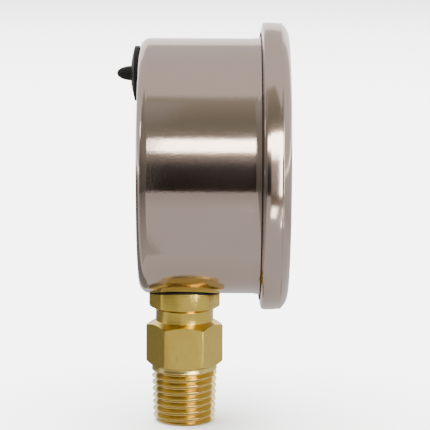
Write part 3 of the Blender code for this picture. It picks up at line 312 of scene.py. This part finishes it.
def lathe(outline, dial_side=True, ring=False, steps=STEPS, crisp=0.0, crisp_angle=25):
    """Spin a half outline and soften its crisp edges."""
    bm = bmesh.new()
    centre = CASE_CENTRE if dial_side else Vector()
    verts = []
    for radius, along in outline:
        place = (radius, -along, 0.0) if dial_side else (radius, 0.0, along)
        verts.append(bm.verts.new((Vector(place) + centre) * MM))
    edges = [bm.edges.new(pair) for pair in zip(verts, verts[1:] + verts[:1] if ring else verts[1:])]
    axis = (0, 1, 0) if dial_side else (0, 0, 1)
    bmesh.ops.spin(bm, geom=verts + edges, cent=centre * MM, axis=axis, angle=2 * math.pi, steps=steps,
                   use_merge=True)
    bmesh.ops.remove_doubles(bm, verts=bm.verts, dist=DOUBLES * MM)
    bmesh.ops.recalc_face_normals(bm, faces=bm.faces)
    if crisp:
        sharp = [e for e in bm.edges if len(e.link_faces) == 2
                 and e.calc_face_angle() > math.radians(crisp_angle)]
        bmesh.ops.bevel(bm, geom=sharp, offset=crisp * MM, offset_type="OFFSET", segments=3,
                        profile=0.5, affect="EDGES", material=-1, clamp_overlap=True)
    return bm


def curve(centre, radii, start, end, steps):
    """Points of an arc or a quarter oval, both ends included."""
    points = []
    for i in range(steps + 1):
        turn = math.radians(start + (end - start) * i / steps)
        points.append((centre[0] + radii[0] * math.cos(turn), centre[1] + radii[1] * math.sin(turn)))
    return points


print("lathe ready")

# %% [markdown]
# ## The case
# A drawn cup: flat back, small round corner, straight wall. Just before the bezel the wall swells a
# little where the sheet is stretched over its flange. Two holes are cut in it, one for the stem's
# spigot and one for the vent plug, because the plug can be pulled out and shows the hole.

# %% Case
CASE_RADIUS, CASE_WALL, CASE_BACK, CORNER = 26.4, 0.55, -9.23, 2.2
FLANGE, FLANGE_WIDTH, FLARE_LENGTH, GAP = 16.85, 1.8, 3.2, 0.1
PLUG_HEIGHT, PLUG_HOLE, SPIGOT_HOLE = 19.2, 4.1, 6.15


def loose(bm):
    """Link a bmesh as a loose object, to be used in a Boolean."""
    mesh = bpy.data.meshes.new("blank")
    bm.to_mesh(mesh)
    bm.free()
    blank = bpy.data.objects.new("blank", mesh)
    bpy.context.scene.collection.objects.link(blank)
    return blank


def combine(first, second, operation):
    """Boolean of two closed bmeshes, back as a bmesh."""
    pair = [loose(first), loose(second)]
    modifier = pair[0].modifiers.new("tool", "BOOLEAN")
    modifier.operation, modifier.object, modifier.solver = operation, pair[1], "EXACT"
    bpy.context.view_layer.update()
    made = bmesh.new()
    made.from_object(pair[0], bpy.context.evaluated_depsgraph_get())
    for blank in pair:
        bpy.data.objects.remove(blank, do_unlink=True)
    return made


def cut(bm, cutter):
    """Take one closed bmesh out of another."""
    return combine(bm, cutter, "DIFFERENCE")


def post(radius, low, high, place=(0.0, 0.0), dial_side=True, sides=96):
    """Closed round bar along the dial's axis or the stem's, as a cutter."""
    bm = bmesh.new()
    bmesh.ops.create_cone(bm, cap_ends=True, segments=sides, radius1=radius * MM, radius2=radius * MM,
                          depth=(high - low) * MM)
    if dial_side:
        quarter = Matrix.Rotation(math.pi / 2, 3, "X")
        bmesh.ops.rotate(bm, verts=bm.verts, cent=(0, 0, 0), matrix=quarter)
        shift = Vector((place[0], -(low + high) / 2, place[1])) + CASE_CENTRE
    else:
        shift = Vector((place[0], place[1], (low + high) / 2))
    bmesh.ops.translate(bm, verts=bm.verts, vec=shift * MM)
    return bm


def flare(inward, start, end, steps=12):
    """Curve of the wall out to the flange, or one lying inward of it in the section."""
    reach = FLANGE_WIDTH - GAP
    turns = curve((0, 0), (1, 1), start, end, steps)
    return [(CASE_RADIUS + reach - x * (reach + inward),
             FLANGE - FLARE_LENGTH + y * (FLARE_LENGTH + inward)) for x, y in turns]


corner = (CASE_RADIUS - CORNER, CASE_BACK + CORNER)
outline = [(CASE_RADIUS + FLANGE_WIDTH, FLANGE + CASE_WALL), (CASE_RADIUS + FLANGE_WIDTH, FLANGE)]
outline += flare(0, 90, 0)
outline += curve(corner, (CORNER, CORNER), 0, -90, 12)
outline += [(0, CASE_BACK), (0, CASE_BACK + CASE_WALL)]
outline += curve(corner, (CORNER - CASE_WALL, CORNER - CASE_WALL), -90, 0, 8)
outline += flare(CASE_WALL, 0, 90)
shell = lathe(outline, ring=True, steps=SHELL_STEPS)
shell = cut(shell, post(PLUG_HOLE, CASE_BACK - 2, CASE_BACK + 2, (0.0, PLUG_HEIGHT)))
wall_below = CASE_CENTRE.z - CASE_RADIUS
shell = cut(shell, post(SPIGOT_HOLE, wall_below - 2, wall_below + 4, dial_side=False))
finished("case", shell, CASE_STEEL, "case", "case_shell")

# %% [markdown]
# ## The crimp bezel
# A ring of the same sheet is pressed over the window and rolled in behind the case's flange. Its side
# isn't quite straight: it rolls in towards the crimp, and a hair towards the front as well, which gives
# the bright streak on it two different edges. A shallow kink parts it from the round front corner.

# %% Bezel
BEZEL_RADIUS, BEZEL_WALL, BEZEL_RIM, BEZEL_FRONT = 29.7, 0.6, 15.85, 21.3
ROUND, LIP_RADIUS = 4.0, 25.0
ROLL_FROM, ROLL, FRONT_ROLL = 17.1, 0.09, 0.03
CRIMP_END = BEZEL_RADIUS - 1.9
round_centre = (CASE_RADIUS, BEZEL_FRONT - ROUND)


def side_radius(along):
    """Radius of the bezel's side: it rolls in towards the crimp, and barely towards the front."""
    behind, before = max(ROLL_FROM - along, 0.0), max(along - ROLL_FROM, 0.0)
    return BEZEL_RADIUS - ROLL * behind ** 2 - FRONT_ROLL * before ** 2


KINK, KINK_GAP, SIDE_STEP, SIDE_POINTS = 19.5, 2, 0.25, 14
inside_round = ROUND - BEZEL_WALL
kink_turn = math.degrees(math.asin((KINK - round_centre[1]) / ROUND))
inside_turn = math.degrees(math.acos((BEZEL_RADIUS - BEZEL_WALL - CASE_RADIUS) / inside_round))
outline = [(LIP_RADIUS, BEZEL_FRONT - BEZEL_WALL), (LIP_RADIUS, BEZEL_FRONT)]
outline += curve(round_centre, (ROUND, ROUND), 90, kink_turn + KINK_GAP, 14)
outline += [(side_radius(KINK - i * SIDE_STEP), KINK - i * SIDE_STEP) for i in range(SIDE_POINTS)]
rim_radius = side_radius(BEZEL_RIM)
outline += [(rim_radius - 0.02, BEZEL_RIM + 0.16), (rim_radius - 0.12, BEZEL_RIM + 0.03),
            (rim_radius - 0.3, BEZEL_RIM - 0.02), (CRIMP_END, BEZEL_RIM - 0.3),
            (CRIMP_END, BEZEL_RIM + 0.3), (BEZEL_RADIUS - BEZEL_WALL, BEZEL_RIM + 0.6)]
outline += curve(round_centre, (inside_round, inside_round), inside_turn, 90, 12)
bezel = lathe(outline, ring=True, steps=SHELL_STEPS, crisp=0.07, crisp_angle=22)
finished("bezel", bezel, BEZEL_STEEL, "case", "bezel_ring")

# %% [markdown]
# ## The rubber in the joint
# A rubber channel grips the flange and seals the window. The crimp squeezes a little of it out behind
# the bezel, where it shows as a black line. Its rear follows the wall's flare, so both use `flare`.

# %% Gasket
SEAT, CRIMP_REAR, BEAD = CASE_RADIUS + 0.8, BEZEL_RIM - 0.3, 0.15
on_flare = math.degrees(math.asin((CRIMP_REAR - FLANGE + FLARE_LENGTH) / (FLARE_LENGTH - GAP)))
outline = [(SEAT, FLANGE + 1.15), (BEZEL_RADIUS - 0.7, FLANGE + 1.15),
           (BEZEL_RADIUS - 0.7, BEZEL_RIM + 0.7),
           (CRIMP_END - GAP, BEZEL_RIM + 0.4), (CRIMP_END - GAP, CRIMP_REAR),
           (CRIMP_END - GAP - 0.1, CRIMP_REAR - BEAD * 0.8), (SEAT, CRIMP_REAR - BEAD)]
outline += flare(-GAP, on_flare, 90)
outline += [(CASE_RADIUS + FLANGE_WIDTH + GAP, FLANGE - GAP),
            (CASE_RADIUS + FLANGE_WIDTH + GAP, FLANGE + 0.65),
            (SEAT, FLANGE + 0.65)]
finished("gasket", lathe(outline, ring=True), RUBBER, "case", "window_gasket")

# %% [markdown]
# ## The window
# A clear disc with a wide chamfer that clears the inside of the bezel's round corner.

# %% Window
WINDOW_REAR, WINDOW_FRONT, WINDOW_RADIUS = 18.1, 20.6, 28.5
outline = [(0, WINDOW_FRONT), (WINDOW_RADIUS - 2.5, WINDOW_FRONT), (WINDOW_RADIUS, WINDOW_FRONT - 1.3),
           (WINDOW_RADIUS, WINDOW_REAR), (0, WINDOW_REAR)]
finished("clear_window", lathe(outline, crisp=0.12), CLEAR_PLASTIC, "case", "window")

# %% [markdown]
# ## The vent plug
# Moulded rubber: a flange with a domed face, a bullet-shaped nipple that is cut off to vent the case,
# and a shank with a lip that snaps into the hole. It looks backwards, so its outline starts at
# the nipple's tip and ends inside the case.

# %% Vent plug
plug_face = CASE_BACK - GAP
outline = curve((0, CASE_BACK - 1.85), (1.5, 2.95), -90, -3, 12)
outline += [(1.58, plug_face - 1.76), (2.2, plug_face - 1.71), (3.4, plug_face - 1.52),
            (4.5, plug_face - 1.27)]
outline += curve((5.4, plug_face - 0.8), (0.25, 0.25), -75, 0, 4)
outline += [(5.65, plug_face), (4.0, plug_face), (4.0, plug_face + 0.65), (4.05, plug_face + 0.9),
            (3.45, plug_face + 2.4), (0, plug_face + 2.4)]
plug_bm = lathe(outline, steps=96, crisp=0.08, crisp_angle=40)
bmesh.ops.translate(plug_bm, verts=plug_bm.verts, vec=(0, 0, PLUG_HEIGHT * MM))
finished("rubber_plug", plug_bm, RUBBER, "plug", "vent_plug")

# %% [markdown]
# ## The stem
# The stem is made the way the machinist makes it. A hexagon bar joined to a length of helical thread
# is the stock; the turned outline, with its chamfers, neck, collar and spigot, is what the lathe
# leaves, so the stem is where the two overlap. The collar's top is then milled to the case's round.
# The thread is one zigzag outline spun round the axis while it climbs one pitch per turn, then
# widened upwards by 1 in 32, because a pipe thread tapers.

# %% Thread stock
PITCH, THREAD_END, THREAD_TAPER, THREAD_LENGTH = 25.4 / 18, 6.515, 1 / 32, 11.3
THREAD_DEPTH, CREST = 1.129, 0.14


def thread_stock():
    """Closed bar with a helical, tapered thread, a little longer than the thread."""
    rise = (PITCH - 2 * CREST) / 2
    profile = [(THREAD_END - THREAD_DEPTH, 0.0), (THREAD_END - THREAD_DEPTH, CREST),
               (THREAD_END - 0.10, CREST + rise * 0.90), (THREAD_END - 0.02, CREST + rise * 0.98),
               (THREAD_END, CREST + rise + CREST * 0.5), (THREAD_END - 0.02, 2 * CREST + rise * 1.02),
               (THREAD_END - 0.10, 2 * CREST + rise * 1.10)]
    turn_steps = 72
    bm = bmesh.new()
    verts = []
    for turn in range(-2, int(THREAD_LENGTH / PITCH) + 3):
        verts += [bm.verts.new((radius * MM, 0, (turn * PITCH + along) * MM)) for radius, along in profile]
    edges = [bm.edges.new(pair) for pair in zip(verts, verts[1:])]
    bmesh.ops.spin(bm, geom=verts + edges, cent=(0, 0, 0), axis=(0, 0, 1), angle=2 * math.pi,
                   dvec=(0, 0, PITCH * MM / turn_steps), steps=turn_steps)
    bmesh.ops.remove_doubles(bm, verts=bm.verts, dist=0.001 * MM)
    for vert in bm.verts:
        radius = math.hypot(vert.co.x, vert.co.y)
        wider = (radius + vert.co.z * THREAD_TAPER) / radius
        vert.co.x *= wider
        vert.co.y *= wider
    for height, way in ((-0.5, -1), (THREAD_LENGTH + 0.6, 1)):
        sliced = bmesh.ops.bisect_plane(bm, geom=bm.verts[:] + bm.edges[:] + bm.faces[:], dist=1e-7,
                                        plane_co=(0, 0, height * MM), plane_no=(0, 0, way),
                                        clear_outer=True)
        rim = [edge for edge in sliced["geom_cut"] if isinstance(edge, bmesh.types.BMEdge)]
        bmesh.ops.contextual_create(bm, geom=rim)
    bmesh.ops.recalc_face_normals(bm, faces=bm.faces)
    return bm


print("thread of", round(THREAD_LENGTH / PITCH, 1), "turns")

# %% Stem
HEX_FLATS, COLLAR_BOTTOM, CASE_BOTTOM, BAR_TOP = 14.0, 24.05, 27.68, 60.0
SPIGOT, COLLAR, SHOULDER, NECK, MILL_HALF = 5.95, 7.41, 29.0, 6.04, 12
HEX_CORNER = HEX_FLATS / 2 / math.cos(math.radians(30))
SEAL = 0.2


def hex_bar(low, high):
    """Closed hexagon bar with slightly rounded long edges."""
    bm = bmesh.new()
    bmesh.ops.create_cone(bm, cap_ends=True, segments=6, radius1=HEX_CORNER * MM, radius2=HEX_CORNER * MM,
                          depth=(high - low) * MM, matrix=Matrix.Translation((0, 0, (low + high) / 2 * MM)))
    upright = [e for e in bm.edges if abs(e.verts[0].co.z - e.verts[1].co.z) > MM]
    bmesh.ops.bevel(bm, geom=upright, offset=0.12 * MM, offset_type="OFFSET", segments=3, profile=0.5,
                    affect="EDGES", material=-1)
    return bm


stock = combine(hex_bar(THREAD_LENGTH, BAR_TOP), thread_stock(), "UNION")
block_top = CASE_CENTRE.z - 12.2
turned_outline = [(0, block_top), (SPIGOT, block_top), (SPIGOT, SHOULDER), (COLLAR, SHOULDER),
                  (COLLAR, COLLAR_BOTTOM + 0.8), (7.33, COLLAR_BOTTOM + 0.66),
                  (6.12, COLLAR_BOTTOM + 0.05), (NECK, COLLAR_BOTTOM - 0.08), (NECK, HEX_TOP + 0.08),
                  (6.12, HEX_TOP), (HEX_CORNER, HEX_TOP - 1.12),
                  (HEX_CORNER, HEX_BOTTOM + 0.62), (6.9, HEX_BOTTOM), (6.82, HEX_BOTTOM - 0.08),
                  (6.82, THREAD_LENGTH + 0.1), (6.94, THREAD_LENGTH - 0.15), (7.1, THREAD_LENGTH - 0.6),
                  (7.1, 1.0), (THREAD_END - 0.70, 0.04), (THREAD_END - 0.78, 0), (0, 0)]
stem_bm = combine(lathe(turned_outline, dial_side=False, steps=144), stock, "INTERSECT")
mill_radius = CASE_RADIUS + SEAL + 0.2
milling = lathe([(0, MILL_HALF), (mill_radius, MILL_HALF), (mill_radius, -MILL_HALF), (0, -MILL_HALF)],
                steps=SHELL_STEPS)
milling = cut(milling, post(6.05, 20.0, BAR_TOP, dial_side=False, sides=144))
stem_bm = cut(stem_bm, milling)
port_top = CASE_CENTRE.z - 18
port = lathe([(0, port_top), (1.2, port_top), (1.2, 14.75), (1.75, 14.75), (1.75, 9.5),
              (2.4, 8.5), (2.4, -1.0), (0, -1.0)], dial_side=False, steps=64)
stem_bm = cut(stem_bm, port)
finished("brass_stem", stem_bm, BRASS, "case", "stem_socket")

# %% [markdown]
# ## The saddle seal
# A thin black washer, bent to the case's round, is pinched between the case and the collar.

# %% Saddle seal
WASHER = 7.6
washer = lathe([(SPIGOT_HOLE, CASE_BOTTOM + 3), (WASHER, CASE_BOTTOM + 3), (WASHER, CASE_BOTTOM - 3),
                (SPIGOT_HOLE, CASE_BOTTOM - 3)],
               dial_side=False, ring=True, steps=96)
inner, outer = CASE_RADIUS + 0.1, CASE_RADIUS + 0.1 + SEAL
bent = lathe([(inner, MILL_HALF), (outer, MILL_HALF), (outer, -MILL_HALF), (inner, -MILL_HALF)],
             ring=True, steps=SHELL_STEPS)
finished("saddle_seal", combine(washer, bent, "INTERSECT"), RUBBER, "case", "stem_seal")

# %% [markdown]
# ## The dial
# The dial is a painted disc with a scale of 270 degrees printed on it. The print is real geometry, a
# few hundredths of a millimetre proud: bars for the ticks, an arc, and the numbers as text turned
# into mesh. A scale of 0 to 100 is a common one, with a tick for every 2.

# %% Dial and its scale
DIAL_FRONT, DIAL_REAR, DIAL_RADIUS = 13.7, 13.2, 25.2
SCALE_START, SCALE_SWEEP, SCALE_MAX = 225.0, 270.0, 100
disc = lathe([(0, DIAL_FRONT), (DIAL_RADIUS, DIAL_FRONT), (DIAL_RADIUS, DIAL_REAR), (0, DIAL_REAR)],
             crisp=0.08)
disc = cut(disc, post(2.4, DIAL_REAR - 1, DIAL_FRONT + 1))
for side in (-7.0, 7.0):
    disc = cut(disc, post(0.7, DIAL_REAR - 1, DIAL_FRONT + 1, (side, -2.2), sides=32))
finished("dial", disc, DIAL_WHITE, "case", "dial_plate")


def bar_on_dial(bm, angle, inner, outer, width):
    """Flat printed bar along a radius."""
    size = Matrix.Diagonal(((outer - inner) * MM, 0.03 * MM, width * MM, 1.0))
    there = Matrix.Translation(((inner + outer) / 2 * MM, -(DIAL_FRONT + 0.015) * MM, 0))
    turn = Matrix.Rotation(-math.radians(angle), 4, "Y")
    centre = Matrix.Translation(CASE_CENTRE * MM)
    bmesh.ops.create_cube(bm, size=1.0, matrix=centre @ turn @ there @ size)


scale_bm = bmesh.new()
for value in range(0, SCALE_MAX + 1, 2):
    angle = SCALE_START - SCALE_SWEEP * value / SCALE_MAX
    long, wide = (3.2, 0.55) if value % 20 == 0 else (2.4, 0.38) if value % 10 == 0 else (1.5, 0.2)
    bar_on_dial(scale_bm, angle, 21.6 - long, 21.6, wide)
finished("scale_ticks", scale_bm, PRINT_BLACK, "case")
arc_steps = 120
ring_bm = bmesh.new()
for radius in (21.6, 21.85):
    for i in range(arc_steps + 1):
        turn = math.radians(SCALE_START - SCALE_SWEEP * i / arc_steps)
        flat = Vector((radius * math.cos(turn), -DIAL_FRONT - 0.03, radius * math.sin(turn)))
        ring_bm.verts.new((flat + CASE_CENTRE) * MM)
ring_bm.verts.ensure_lookup_table()
rows = [ring_bm.verts[:arc_steps + 1], ring_bm.verts[arc_steps + 1:]]
rails = [[ring_bm.edges.new(pair) for pair in zip(row, row[1:])] for row in rows]
bmesh.ops.bridge_loops(ring_bm, edges=rails[0] + rails[1])
raised = bmesh.ops.extrude_face_region(ring_bm, geom=ring_bm.faces[:])
low = [v for v in raised["geom"] if isinstance(v, bmesh.types.BMVert)]
bmesh.ops.translate(ring_bm, verts=low, vec=(0, 0.03 * MM, 0))
finished("scale_arc", ring_bm, PRINT_BLACK, "case")


def printed(name, text, size, x, z):
    """Text as a thin mesh on the dial, centred on a place."""
    font = bpy.data.curves.new(name, "FONT")
    font.body, font.size, font.extrude = text, size * MM, 0.015 * MM
    font.align_x, font.align_y = "CENTER", "CENTER"
    font.resolution_u = 4
    holder = bpy.data.objects.new(name, font)
    bpy.context.scene.collection.objects.link(holder)
    bpy.context.view_layer.update()
    bm = bmesh.new()
    shown = holder.evaluated_get(bpy.context.evaluated_depsgraph_get())
    bm.from_mesh(bpy.data.meshes.new_from_object(shown))
    bpy.data.objects.remove(holder, do_unlink=True)
    bmesh.ops.rotate(bm, verts=bm.verts, cent=(0, 0, 0), matrix=Matrix.Rotation(math.pi / 2, 3, "X"))
    bmesh.ops.translate(bm, verts=bm.verts,
                        vec=(CASE_CENTRE + Vector((x, -DIAL_FRONT - 0.015, z))) * MM)
    finished(name, bm, PRINT_BLACK, "case")


END_SHIFT = 12.0  # sets the first and the last number beside the pointer at its stops
for value in range(0, SCALE_MAX + 1, 20):
    beside = END_SHIFT * ((value == SCALE_MAX) - (value == 0))
    turn = math.radians(SCALE_START - SCALE_SWEEP * value / SCALE_MAX + beside)
    printed("number_%d" % value, str(value), 3.6, 15.6 * math.cos(turn), 15.6 * math.sin(turn))
printed("unit", "psi", 3.0, 0.0, -9.5)

# %% [markdown]
# ## The pointer
# A stamped, tapered blade with a broad tail for balance, pressed on the arbor under a small turned
# hub. It is drawn lying to the right, turned to the zero mark, and it rides on the pointer's body.

# %% Pointer and hub
POINTER_REAR, POINTER_FRONT = 15.0, 15.3
blade = bmesh.new()
half = [(18.5, 0.15), (3.0, 0.75), (1.5, 2.1), (-1.5, 2.1), (-3.0, 0.75), (-6.5, 1.5)]
edge_points = half + [(x, -z) for x, z in reversed(half)]
verts = [blade.verts.new((x * MM, -POINTER_REAR * MM, z * MM)) for x, z in edge_points]
face = blade.faces.new(verts)
up = bmesh.ops.extrude_face_region(blade, geom=[face])
bmesh.ops.translate(blade, verts=[v for v in up["geom"] if isinstance(v, bmesh.types.BMVert)],
                    vec=(0, -(POINTER_FRONT - POINTER_REAR) * MM, 0))
corners = [e for e in blade.edges if abs(e.verts[0].co.y - e.verts[1].co.y) > 0.1 * MM]
bmesh.ops.bevel(blade, geom=corners, offset=0.25 * MM, offset_type="OFFSET", segments=3, profile=0.5,
                affect="EDGES", material=-1, clamp_overlap=True)
bmesh.ops.rotate(blade, verts=blade.verts, cent=(0, 0, 0),
                 matrix=Matrix.Rotation(-math.radians(SCALE_START), 3, "Y"))
bmesh.ops.translate(blade, verts=blade.verts, vec=CASE_CENTRE * MM)
finished("pointer", blade, POINTER_BLACK, "pointer", "pointer_blade")
outline = [(0.7, 16.4), (1.7, 16.4), (2.1, 16.15), (2.2, 15.9), (2.2, 15.4), (0.7, 15.4)]
finished("hub", lathe(outline, ring=True, steps=64, crisp=0.06), MOVEMENT_BRASS, "pointer", "pointer_hub")

# %% [markdown]
# ## Floor and sky
# The gauge stands on its stem on a pale floor, under an even white sky. The floor is no plain grey:
# two close tones in large clouds keep it from looking empty.

# %% Floor
floor_bm = bmesh.new()
bmesh.ops.create_circle(floor_bm, cap_ends=True, segments=96, radius=3.0)
floor_mesh = bpy.data.meshes.new("floor")
floor_bm.to_mesh(floor_mesh)
floor_bm.free()
floor = bpy.data.objects.new("floor", floor_mesh)
bpy.context.scene.collection.objects.link(floor)
paper = Finish("pale_floor", Roughness=0.8)
fibre = paper.noise(0.02, 3.0)
tone = paper.mix(fibre, (0.86, 0.855, 0.85), (0.84, 0.835, 0.83))
floor_mesh.materials.append(paper.feed(Base_Color=tone))

world = bpy.data.worlds.new("studio")
bpy.context.scene.world = world
world.use_nodes = True
world.node_tree.nodes["Background"].inputs["Color"].default_value = (1.0, 0.985, 0.98, 1.0)
world.node_tree.nodes["Background"].inputs["Strength"].default_value = 1.05
print("floor and sky ready")

# %% [markdown]
# ## What the metal mirrors
# Polished metal looks like what it mirrors, so the surroundings are its look: a dark room straight
# ahead, a bright strip of light above it, a dim ceiling, a pale table, and a soft box to the right.
# Real things could be built for each. Here they are painted on parts of a bowl round the case that
# glow, and that only mirrors see, so they throw no light or shade on anything else. A smaller bowl
# hides a larger one, so a light box can hang in front of the room. Colours above one are lights.

# %% Screens that the metal mirrors
SCREEN_REACH = 226.0
ABOVE_FLOOR, WIDER_IS_LOWER = 1.2, 0.0008  # so that no bowl lies in another on the floor
NEAR, NEARER, EVERYWHERE = 218.0, 214.0, 1100.0


def screen(name, low, high, left, right, rows, reach=SCREEN_REACH):
    """Part of a bowl round the case that glows by rows and that only mirrors see.

    It runs between two elevations and two bearings, degrees to the right of straight behind the
    camera. Low elevations lie flat above the floor. Rows are pairs of elevation and colour."""
    bm = bmesh.new()
    verts = []
    rise = 48
    start = math.radians(left)
    drop = CASE_CENTRE.z - ABOVE_FLOOR + reach * WIDER_IS_LOWER
    for i in range(rise + 1):
        turn = math.radians(low + (high - low) * i / rise)
        floor_reach = drop / max(-math.sin(turn), 1e-6)
        ray = min(reach, floor_reach)
        flat = ray * math.cos(turn)
        place = Vector((-flat * math.cos(start), -flat * math.sin(start), ray * math.sin(turn)))
        verts.append(bm.verts.new((place + CASE_CENTRE) * MM))
    edges = [bm.edges.new(pair) for pair in zip(verts, verts[1:])]
    bmesh.ops.spin(bm, geom=verts + edges, cent=(0, 0, 0), axis=(0, 0, 1), angle=math.radians(right - left),
                   steps=max(4, int((right - left) / 5)))
    mesh = bpy.data.meshes.new(name)
    bm.to_mesh(mesh)
    bm.free()
    mesh.shade_smooth()
    glow = Finish(name)
    point = glow.place(centre=CASE_CENTRE)
    across = glow.node("ShaderNodeVectorMath", {"operation": "LENGTH"}, {0: point}, output=1)
    height = glow.node("ShaderNodeSeparateXYZ", sockets={"Vector": point}, output=2) / across
    lowest, highest = math.sin(math.radians(low)), math.sin(math.radians(high))
    share = (height - lowest) / (highest - lowest)
    brightest = max(max(colour) for _, colour in rows)
    stops = [((math.sin(math.radians(e)) - lowest) / (highest - lowest), [c / brightest for c in colour])
             for e, colour in rows]
    sockets = {"Color": glow.ramp(share, *stops), "Strength": brightest}
    light = glow.node("ShaderNodeEmission", sockets=sockets)
    mesh.materials.append(glow.show(light))
    made = bpy.data.objects.new(name, mesh)
    bpy.context.scene.collection.objects.link(made)
    made.visible_camera = made.visible_diffuse = made.visible_shadow = False
    made.visible_transmission = made.visible_volume_scatter = False


TABLE = (0.84, 0.85, 0.85)
STRIP = (14.0, 13.4, 12.6)
GLARE = (16.0, 15.4, 14.4)
GLINT = (8.0, 7.7, 7.2)
# The mirrored table darkens straight below the case: a painted shadow of the gauge on the table.
screen("table_mirrored", -84, -2.9, 0, 360,
       [(-84, (0.74, 0.73, 0.70)), (-62, TABLE), (-26, TABLE), (-18, (0.68, 0.68, 0.67)), (-2.9, TABLE)],
       EVERYWHERE)
screen("ceiling_mirrored", 30, 68, -27, 27,
       [(30, (0.33, 0.33, 0.27)), (45, (0.31, 0.31, 0.25)), (54, (0.40, 0.39, 0.31)),
        (64, (0.52, 0.50, 0.42)), (67.5, (0.80, 0.78, 0.74))])
screen("room_mirrored", -14, 30, -75, 60,
       [(-14, (0.020, 0.013, 0.009)), (-6, (0.030, 0.026, 0.024)), (4, (0.045, 0.049, 0.055)),
        (8, (0.09, 0.09, 0.095)), (11, (0.22, 0.21, 0.205)), (18, (0.52, 0.49, 0.42)), (20.5, STRIP),
        (28.5, STRIP), (29.8, (0.45, 0.43, 0.36))])
screen("left_wall_mirrored", -14, 62, -72, -7,
       [(-14, (0.14, 0.14, 0.13)), (5, (0.20, 0.20, 0.18)), (18, (0.34, 0.34, 0.30)),
        (40, (0.34, 0.34, 0.30)), (62, (0.58, 0.58, 0.56))], NEAR)
screen("left_table_mirrored", -60, -14.2, -72, -13,
       [(-60, (0.64, 0.64, 0.62)), (-30, (0.44, 0.44, 0.42)), (-14.5, (0.28, 0.28, 0.27))], NEAR)
screen("left_back_mirrored", -75, -6, -150, -95,
       [(-75, (0.30, 0.30, 0.29)), (-6, (0.25, 0.25, 0.24))], NEAR)
screen("softbox_edge_mirrored", -20, 31, 6.0, 17,
       [(-20, (0.30, 0.26, 0.22)), (-14, (0.20, 0.17, 0.14)), (-12, (0.34, 0.32, 0.29)),
        (11, (0.80, 0.77, 0.72)), (18, STRIP), (31, STRIP)], NEARER)
screen("softbox_mirrored", -20, 31, 17, 46,
       [(-20, (0.30, 0.26, 0.22)), (-14, (0.20, 0.17, 0.14)), (-12, STRIP), (31, STRIP)], NEARER)
screen("low_glint_mirrored", -27, -21, 10, 16.8, [(-27, GLINT), (-21, GLINT)], NEARER)
screen("table_glare_mirrored", -31, -15, 25, 38, [(-31, GLARE), (-15, GLARE)], NEARER)
screen("backdrop_mirrored", 0, 40, 140, 220, [(0, (2.4, 2.3, 2.3)), (40, (2.1, 2.0, 2.0))])
print("screens hung for the mirrors")

# %% [markdown]
# ## The lamp and the camera
# One large soft lamp overhead whitens the floor and gives the gauge its soft shadow. The metal doesn't
# mirror it, because its lights are the painted ones. The camera looks square at the gauge's side from
# slightly above, through a long lens, so that the case shows its profile and the stem its thread.

# %% Lamp and camera
lamp_data = bpy.data.lights.new("overhead_light", "AREA")
lamp_data.shape, lamp_data.size, lamp_data.energy = "SQUARE", 2.4, 300.0
lamp = bpy.data.objects.new("overhead_light", lamp_data)
bpy.context.scene.collection.objects.link(lamp)
lamp.location = (0.3, 0.0, 1.6)
lamp.visible_glossy = False

camera_data = bpy.data.cameras.new("camera")
camera = bpy.data.objects.new("camera", camera_data)
bpy.context.scene.collection.objects.link(camera)
camera_data.sensor_width, camera_data.lens = 36.0, 36.0 * 1936.8 / 430.0
camera_data.clip_start, camera_data.clip_end = 0.01, 10.0
TILT, YAW, LEAN = 0.1585, 0.0017, 0.0048
sideways = Matrix.Rotation(-math.pi / 2 + YAW, 4, "Z") @ Matrix.Rotation(math.pi / 2 - TILT, 4, "X")
look = sideways @ Matrix.Rotation(LEAN, 4, "Z")
away = look.to_3x3() @ Vector((0, 0, 1))
DISTANCE, TO_THE_RIGHT, UPWARDS = 401.9, 6.303, -10.18
camera.matrix_world = Matrix.Translation((CASE_CENTRE + away * DISTANCE) * MM) @ look
camera.location += (sideways.to_3x3() @ Vector((TO_THE_RIGHT, UPWARDS, 0.0))) * MM
bpy.context.scene.camera = camera
print("camera at", [round(c / MM, 1) for c in camera.location])
